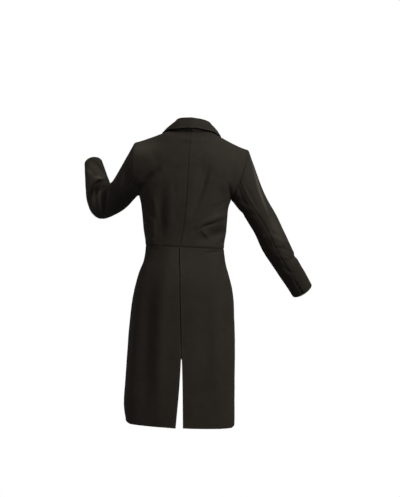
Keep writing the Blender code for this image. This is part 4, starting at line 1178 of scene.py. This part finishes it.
def neckline(side, place):
    """Inner corner of the neck edge and the way past it, at places 0 (centre back) to 1 (gorge)."""
    back = back_form(side)
    front = front_form(side)
    u = spread(BACK_ACROSS) * BACK_COLUMNS / NECK_COLUMNS * 0.5
    levels = body_levels()
    drop = 0.5 + (2 - levels[::-1]) / (2 * GORGE_DROP)
    lines = []
    for line_back, line_front in (
            (back[-1], front[::-1, -1]),
            (unit(back[-1] - back[-2]), unit(front[::-1, -1] - front[::-1, -2])),
            ((normals_of(back) * -side)[-1], (normals_of(front) * -side)[::-1, -1])):
        behind = np.stack([np.interp(place, u, line_back[:, k]) for k in range(3)], -1)
        ahead = np.stack([np.interp(place, drop, line_front[:, k]) for k in range(3)], -1)
        lines.append(behind * (1 - past_shoulder(place)) + ahead * past_shoulder(place))
    edge, past, face = lines
    return edge - CLOTH * unit(face), unit(past)


def collar_lines(side, place):
    """Fold line and outer edge of one half of the collar, each a smooth curve through its table's places.

    The edge takes a share of its table's lift, 0.6 + 0.5 * place up to 1, to lie close on the back.
    """
    columns = slice(1, 4) if side == LEFT else slice(4, 7)
    fold = smooth(COLLAR_FOLD[:, 0], COLLAR_FOLD[:, columns], place)
    lines = []
    for points, table in ((back_points, COLLAR_EDGE_BACK), (front_points, COLLAR_EDGE_FRONT)):
        table = table.copy()
        table[:, 3] *= side * np.clip(0.6 + 0.5 * table[:, 0], 0, 1)
        lines.append(lifted(points, side, place, table))
    back, front = lines
    return fold, back * (1 - past_shoulder(place)) + front * past_shoulder(place)


def make_collar():
    """Collar: straight stand, a half circle over the fold line, then the fall with a bow of sin(pi s)."""
    place = np.linspace(0, 1, COLLAR_ALONG)
    parts = []
    for side in (RIGHT, LEFT):
        base, past = neckline(side, place)
        fold, edge = collar_lines(side, place)
        parts.append([base, past, fold, edge])
    base, past, fold, edge = [np.concatenate([right[:0:-1], left]) for right, left in zip(*parts)]
    out = edge - fold
    out[:, 2] = 0
    out = unit(out)
    up = np.array((0, 0, 1))
    rows = []
    foot = base + 1.5 * SEAM_GAP * past
    near = fold - COLLAR_TURN * up
    for share in np.linspace(0, 1, STAND_ROWS):
        rows.append(foot + (near - foot) * share)
    for angle in np.radians(np.linspace(0, 180, TURN_ROWS + 2)[1:-1]):
        rows.append(near + COLLAR_TURN * (np.sin(angle) * up + (1 - np.cos(angle)) * out))
    far = near + 2 * COLLAR_TURN * out
    for share in np.linspace(0, 1, FALL_ROWS):
        bow = COLLAR_BOW * np.sin(np.pi * share)
        rows.append(far + (edge - far) * share + bow * (0.7 * up + 0.7 * out))
    grid = np.array(rows)
    face = normals_of(grid)
    top_row = STAND_ROWS + TURN_ROWS // 2
    face = face * np.sign(face[top_row, len(place)] @ up)
    wave = 0.0005 * unevenness(grid, 0.045, 31) * np.linspace(0, 1, len(rows))[:, None]
    grid = grid + wave[..., None] * face
    shell("collar", grid, face, ("first_row",))


def revolve_button(radius):
    """Four-hole button on its own axis: a dome inside a rounded rim, and four round holes 0.9 mm deep.

    Height = 2.2 mm + 0.5 mm * exp(-((s - 0.86)/0.09)^2) - 0.5 mm * exp(-(s/0.75)^4) - holes, s = r / radius.
    """
    s = np.concatenate([np.linspace(0, 0.94, 30), BUTTON_RIM[:, 0]])
    angle = np.linspace(0, 2 * np.pi, 57)[:-1]
    grid_s, grid_a = np.meshgrid(s, angle, indexing="ij")
    x = radius * grid_s * np.cos(grid_a)
    y = radius * grid_s * np.sin(grid_a)
    top = 0.0022 + 0.0005 * np.exp(-((grid_s - 0.86) / 0.09) ** 2) - 0.0005 * np.exp(-(grid_s / 0.75) ** 4)
    for hole in range(4):
        way = np.pi / 4 + hole * np.pi / 2
        away = np.hypot(x - HOLE_PLACE * radius * np.cos(way), y - HOLE_PLACE * radius * np.sin(way))
        top -= 0.0009 * np.exp(-(away / (0.11 * radius)) ** 6)
    top[-len(BUTTON_RIM):] = BUTTON_RIM[:, 1:]
    return np.stack([x, y, top], -1)


def make_button(name, radius):
    """Horn button in its solid's place: the solid's shortest way is the axis, its middle is the centre."""
    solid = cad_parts[name]
    corners = np.empty(len(solid.data.vertices) * 3)
    solid.data.vertices.foreach_get("co", corners)
    corners = corners.reshape(-1, 3)
    centre = (corners.max(0) + corners.min(0)) / 2
    ways = np.linalg.svd(corners - corners.mean(0), full_matrices=False)[2]
    axis = ways[2] * np.sign(ways[2] @ BUTTON_OUT[name])
    side_axis = unit(np.cross(np.array((0.0, 0.0, 1.0)), axis))
    turned = np.stack([side_axis, np.cross(axis, side_axis), axis])
    grid = revolve_button(radius)
    rows, around = grid.shape[:2]
    thread_points, thread_faces = thread_bars(radius)
    points = np.concatenate([grid.reshape(-1, 3), thread_points])
    faces = np.concatenate([ring_faces(rows, around), thread_faces + rows * around])
    points = centre + (points - np.array((0, 0, 0.0013))) @ turned
    mesh = bpy.data.meshes.new(name)
    mesh.from_pydata(points.tolist(), [], faces.tolist())
    mesh.materials.append(HORN)
    mesh.materials.append(THREAD)
    slots = np.zeros(len(faces), np.int32)
    slots[-len(thread_faces):] = 1
    mesh.polygons.foreach_set("material_index", slots)
    mesh.polygons.foreach_set("use_smooth", np.ones(len(faces), bool))
    mesh.update()
    button = bpy.data.objects.new("horn_" + name, mesh)
    bpy.context.scene.collection.objects.link(button)
    close_poles(mesh)
    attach(button, "root")
    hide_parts(name)


def ring_faces(rows, around):
    """Four-cornered faces between closed rings of points, one ring in each row."""
    index = np.arange(rows * around).reshape(rows, around)
    beside = np.roll(index, -1, axis=1)
    return np.stack([index[:-1], index[1:], beside[1:], beside[:-1]], -1).reshape(-1, 4)


def close_poles(mesh):
    """Merge the points that lie on each other where the button's rings shrink to its axis."""
    shape = bmesh.new()
    shape.from_mesh(mesh)
    bmesh.ops.remove_doubles(shape, verts=shape.verts, dist=0.00001)
    shape.to_mesh(mesh)
    shape.free()


def thread_bars(radius):
    """Two bars of thread from hole to hole: six-sided tubes along x = c cos(t), z = 1.4 + 0.8 sin(t) mm."""
    t = np.linspace(0, np.pi, 9)
    ring = np.linspace(0, 2 * np.pi, 7)[:-1, None]
    count = len(t) * len(ring)
    reach = HOLE_PLACE * radius * np.sqrt(0.5)
    beside = np.array((0.0, 1.0, 0.0))
    points, faces = [], []
    for offset in (-reach, reach):
        line = np.stack([reach * np.cos(t), np.full(len(t), offset), 0.0014 + 0.0008 * np.sin(t)], -1)
        above = np.cross(unit(np.gradient(line, axis=0)), beside)
        tube = line[:, None] + THREAD_RADIUS * (np.cos(ring) * beside + np.sin(ring) * above[:, None])
        faces.append(ring_faces(len(t), len(ring))[:, [0, 3, 2, 1]] + count * len(points))
        points.append(tube.reshape(-1, 3))
    return np.concatenate(points), np.concatenate(faces)


def link(tree, start, end):
    """Join an output of one node to an input of another."""
    tree.links.new(start, end)


def start_material(name):
    """New material: itself, its tree of nodes and its shader."""
    material = bpy.data.materials.new(name)
    material.use_nodes = True
    return material, material.node_tree, material.node_tree.nodes["Principled BSDF"]


def noise(tree, place, scale, detail, roughness=0.5):
    """Cloudy values from 0 to 1, read at a place."""
    node = tree.nodes.new("ShaderNodeTexNoise")
    node.inputs["Scale"].default_value = scale
    node.inputs["Detail"].default_value = detail
    node.inputs["Roughness"].default_value = roughness
    link(tree, place, node.inputs["Vector"])
    return node.outputs["Fac"]


def combined(tree, operation, first, second):
    """One value worked out from an output and a second output or a number."""
    node = tree.nodes.new("ShaderNodeMath")
    node.operation = operation
    link(tree, first, node.inputs[0])
    if isinstance(second, float):
        node.inputs[1].default_value = second
    else:
        link(tree, second, node.inputs[1])
    return node.outputs[0]


def ramp(tree, share, places, colours):
    """Colour between two plain ones, each at its place of the share."""
    node = tree.nodes.new("ShaderNodeValToRGB")
    for element, place, colour in zip(node.color_ramp.elements, places, colours):
        element.position = place
        element.color = colour
    link(tree, share, node.inputs["Fac"])
    return node.outputs["Color"]


def tinted(tree, share, base, colour):
    """Base colour mixed towards a plain one by a share."""
    node = tree.nodes.new("ShaderNodeMixRGB")
    node.inputs["Color2"].default_value = colour
    link(tree, share, node.inputs["Fac"])
    link(tree, base, node.inputs["Color1"])
    return node.outputs["Color"]


def raised(tree, height, strength, distance, under=None):
    """Fine relief by a height, laid over the relief under it."""
    node = tree.nodes.new("ShaderNodeBump")
    node.inputs["Strength"].default_value = strength
    node.inputs["Distance"].default_value = distance
    link(tree, height, node.inputs["Height"])
    if under is not None:
        link(tree, under, node.inputs["Normal"])
    return node.outputs["Normal"]


def drawn(tree, key):
    """Values of one of the cloth's own attributes."""
    node = tree.nodes.new("ShaderNodeAttribute")
    node.attribute_name = key
    return node.outputs["Fac"]


def wool():
    """Fine black-brown wool: a diagonal twill on the cloth's UV, nap and mottling on Object coordinates.

    It has shade painted darker into the seams and along the closed vent, wear with a painted sheen lighter on
    the free edges, and painted highlights along ridges of the sleeves and the upper back.
    """
    material, tree, shader = start_material("black wool barathea")
    shader.inputs["Roughness"].default_value = 0.92
    shader.inputs["Specular IOR Level"].default_value = 0.06
    shader.inputs["Sheen Weight"].default_value = 0.02
    shader.inputs["Sheen Roughness"].default_value = 0.45
    shader.inputs["Sheen Tint"].default_value = (0.60, 0.55, 0.46, 1)
    place = tree.nodes.new("ShaderNodeTexCoord").outputs["Object"]
    way = tree.nodes.new("ShaderNodeUVMap")
    way.uv_map = "cloth"

    twill = tree.nodes.new("ShaderNodeTexWave")
    twill.bands_direction = "DIAGONAL"
    twill.inputs["Scale"].default_value = 330
    twill.inputs["Distortion"].default_value = 0.6
    twill.inputs["Detail"].default_value = 1
    link(tree, way.outputs["UV"], twill.inputs["Vector"])
    nap = noise(tree, place, 900, 3)
    mottle = noise(tree, place, 26, 4, 0.6)
    broad = noise(tree, place, 5, 2)

    share = combined(tree, "MULTIPLY", combined(tree, "ADD", mottle, broad), 0.5)
    colour = ramp(tree, share, (0.36, 0.64), ((0.0169, 0.0146, 0.0119, 1), (0.0204, 0.0177, 0.0145, 1)))
    threads = tree.nodes.new("ShaderNodeMixRGB")
    threads.blend_type = "MULTIPLY"
    threads.inputs["Fac"].default_value = 0.30
    link(tree, colour, threads.inputs["Color1"])
    link(tree, twill.outputs["Color"], threads.inputs["Color2"])

    # Painted shade: the seam attribute darkens the colour in the seams and along the closed vent
    painted_seam_shade = combined(tree, "MULTIPLY", drawn(tree, "seam"), 0.6)
    # Wear and painted sheen: free edges lighter, broken up by the mottling
    wear_and_painted_sheen = combined(tree, "MULTIPLY", drawn(tree, "edge"), mottle)
    colour = tinted(tree, painted_seam_shade, threads.outputs["Color"], (0.0075, 0.0066, 0.0052, 1))
    colour = tinted(tree, wear_and_painted_sheen, colour, (0.030, 0.0265, 0.021, 1))
    # Painted highlight: the nap attribute lightens the colour along ridges
    colour = tinted(tree, drawn(tree, "nap"), colour, (0.052, 0.0455, 0.036, 1))
    link(tree, colour, shader.inputs["Base Color"])

    weave = raised(tree, twill.outputs["Fac"], 0.30, 0.0002)
    fuzz = raised(tree, nap, 0.35, 0.0003, weave)
    soft = raised(tree, mottle, 0.18, 0.0015, fuzz)
    link(tree, soft, shader.inputs["Normal"])
    return material


def horn():
    """Dark polished horn: stretched noise as streaks, brown in the thin parts."""
    material, tree, shader = start_material("dark horn")
    shader.inputs["Roughness"].default_value = 0.5
    shader.inputs["Specular IOR Level"].default_value = 0.2
    place = tree.nodes.new("ShaderNodeTexCoord")
    stretch = tree.nodes.new("ShaderNodeMapping")
    stretch.inputs["Scale"].default_value = (220, 220, 900)
    link(tree, place.outputs["Object"], stretch.inputs["Vector"])
    streak = noise(tree, stretch.outputs["Vector"], 1, 4)
    colour = ramp(tree, streak, (0.35, 0.72), ((0.004, 0.0035, 0.003, 1), (0.016, 0.012, 0.008, 1)))
    link(tree, colour, shader.inputs["Base Color"])
    link(tree, raised(tree, streak, 0.15, 0.0001), shader.inputs["Normal"])
    return material


def thread():
    """Waxed black sewing thread with a fine twist."""
    material, tree, shader = start_material("black thread")
    shader.inputs["Roughness"].default_value = 0.6
    place = tree.nodes.new("ShaderNodeTexCoord")
    twist = tree.nodes.new("ShaderNodeTexWave")
    twist.bands_direction = "DIAGONAL"
    twist.inputs["Scale"].default_value = 900
    link(tree, place.outputs["Object"], twist.inputs["Vector"])
    colour = ramp(tree, twist.outputs["Fac"], (0, 1), ((0.008, 0.008, 0.008, 1), (0.028, 0.026, 0.023, 1)))
    link(tree, colour, shader.inputs["Base Color"])
    return material


def floor_material():
    """White studio floor that turns into plain light 0.3 to 1.2 m from the middle, so that it has no horizon.

    The light is full for the eye and faint for everything else, so that the coat isn't lit from below.
    """
    material, tree, shader = start_material("white studio floor")
    shader.inputs["Base Color"].default_value = (0.93, 0.93, 0.93, 1)
    shader.inputs["Roughness"].default_value = 0.9
    place = tree.nodes.new("ShaderNodeTexCoord")
    away = tree.nodes.new("ShaderNodeVectorMath")
    away.operation = "LENGTH"
    link(tree, place.outputs["Object"], away.inputs[0])
    fade = tree.nodes.new("ShaderNodeMapRange")
    fade.interpolation_type = "SMOOTHSTEP"
    fade.inputs["From Min"].default_value = 0.3
    fade.inputs["From Max"].default_value = 1.2
    link(tree, away.outputs["Value"], fade.inputs["Value"])
    light = tree.nodes.new("ShaderNodeEmission")
    light.inputs["Color"].default_value = (1, 1, 1, 1)
    ray = tree.nodes.new("ShaderNodeLightPath")
    strength = tree.nodes.new("ShaderNodeMapRange")
    strength.inputs["To Min"].default_value = 0.3
    strength.inputs["To Max"].default_value = 1.0
    link(tree, ray.outputs["Is Camera Ray"], strength.inputs["Value"])
    link(tree, strength.outputs["Result"], light.inputs["Strength"])
    mix = tree.nodes.new("ShaderNodeMixShader")
    link(tree, fade.outputs["Result"], mix.inputs["Fac"])
    link(tree, shader.outputs["BSDF"], mix.inputs[1])
    link(tree, light.outputs["Emission"], mix.inputs[2])
    link(tree, mix.outputs["Shader"], tree.nodes["Material Output"].inputs["Surface"])
    return material


def make_floor():
    """Round floor: rings at radius 14 m * s^2, 72 points each."""
    s, a = np.meshgrid(np.linspace(0.02, 1, 24), np.linspace(0, 2 * np.pi, 73)[:-1], indexing="ij")
    radius = FLOOR_RADIUS * s ** 2
    points = np.stack([radius * np.cos(a), radius * np.sin(a), np.full(s.shape, FLOOR_Z)], -1)
    faces = ring_faces(*s.shape).tolist() + [list(range(s.shape[1]))]
    mesh = bpy.data.meshes.new("floor")
    mesh.from_pydata(points.reshape(-1, 3).tolist(), [], faces)
    mesh.update()
    floor = bpy.data.objects.new("floor", mesh)
    bpy.context.scene.collection.objects.link(floor)
    mesh.materials.append(floor_material())


def make_lamp():
    """Soft square lamp high on the right, turned to its aim."""
    lamp = bpy.data.lights.new("key", "AREA")
    lamp.size = LAMP_SIZE
    lamp.energy = LAMP_POWER
    lamp.color = LAMP_COLOUR
    holder = bpy.data.objects.new("key", lamp)
    holder.location = LAMP_PLACE
    holder.rotation_euler = (Vector(LAMP_AIM) - Vector(LAMP_PLACE)).to_track_quat("-Z", "Y").to_euler()
    bpy.context.scene.collection.objects.link(holder)


def make_studio():
    """Level camera behind the coat, a soft lamp high on the right and a pale room."""
    lens = bpy.data.cameras.new("camera")
    lens.sensor_fit = "HORIZONTAL"
    lens.sensor_width = 36
    lens.lens = 36 * EYE[1] / VIEW_WIDTH
    camera = bpy.data.objects.new("camera", lens)
    camera.location = EYE
    camera.rotation_euler = (np.pi / 2, 0, np.pi)
    bpy.context.scene.collection.objects.link(camera)
    bpy.context.scene.camera = camera

    make_lamp()

    world = bpy.data.worlds.new("pale room")
    bpy.context.scene.world = world
    world.use_nodes = True
    tree = world.node_tree
    tree.nodes.clear()
    seen_light = tree.nodes.new("ShaderNodeBackground")
    seen_light.inputs["Strength"].default_value = 1.0
    seen_light.inputs["Color"].default_value = (1, 1, 1, 1)
    room_light = tree.nodes.new("ShaderNodeBackground")
    room_light.inputs["Strength"].default_value = ROOM_LIGHT
    room_light.inputs["Color"].default_value = ROOM_COLOUR
    ray = tree.nodes.new("ShaderNodeLightPath")
    mix = tree.nodes.new("ShaderNodeMixShader")
    link(tree, ray.outputs["Is Camera Ray"], mix.inputs["Fac"])
    link(tree, room_light.outputs["Background"], mix.inputs[1])
    link(tree, seen_light.outputs["Background"], mix.inputs[2])
    output = tree.nodes.new("ShaderNodeOutputWorld")
    link(tree, mix.outputs["Shader"], output.inputs["Surface"])
    bpy.context.scene.view_settings.view_transform = "Standard"


WOOL = wool()
HORN = horn()
THREAD = thread()
make_studio()
make_floor()
coat_bodies = {}
for coat_side in (LEFT, RIGHT):
    coat_bodies[coat_side] = make_body(coat_side)
    make_skirt(coat_side)
    make_sleeve(coat_side)
    make_lapel(coat_side)
make_collar()
make_tapes(coat_bodies)
for button_name in BUTTON_OUT:
    make_button(button_name, WAIST_BUTTON_RADIUS if button_name == "button_waist" else SLEEVE_BUTTON_RADIUS)
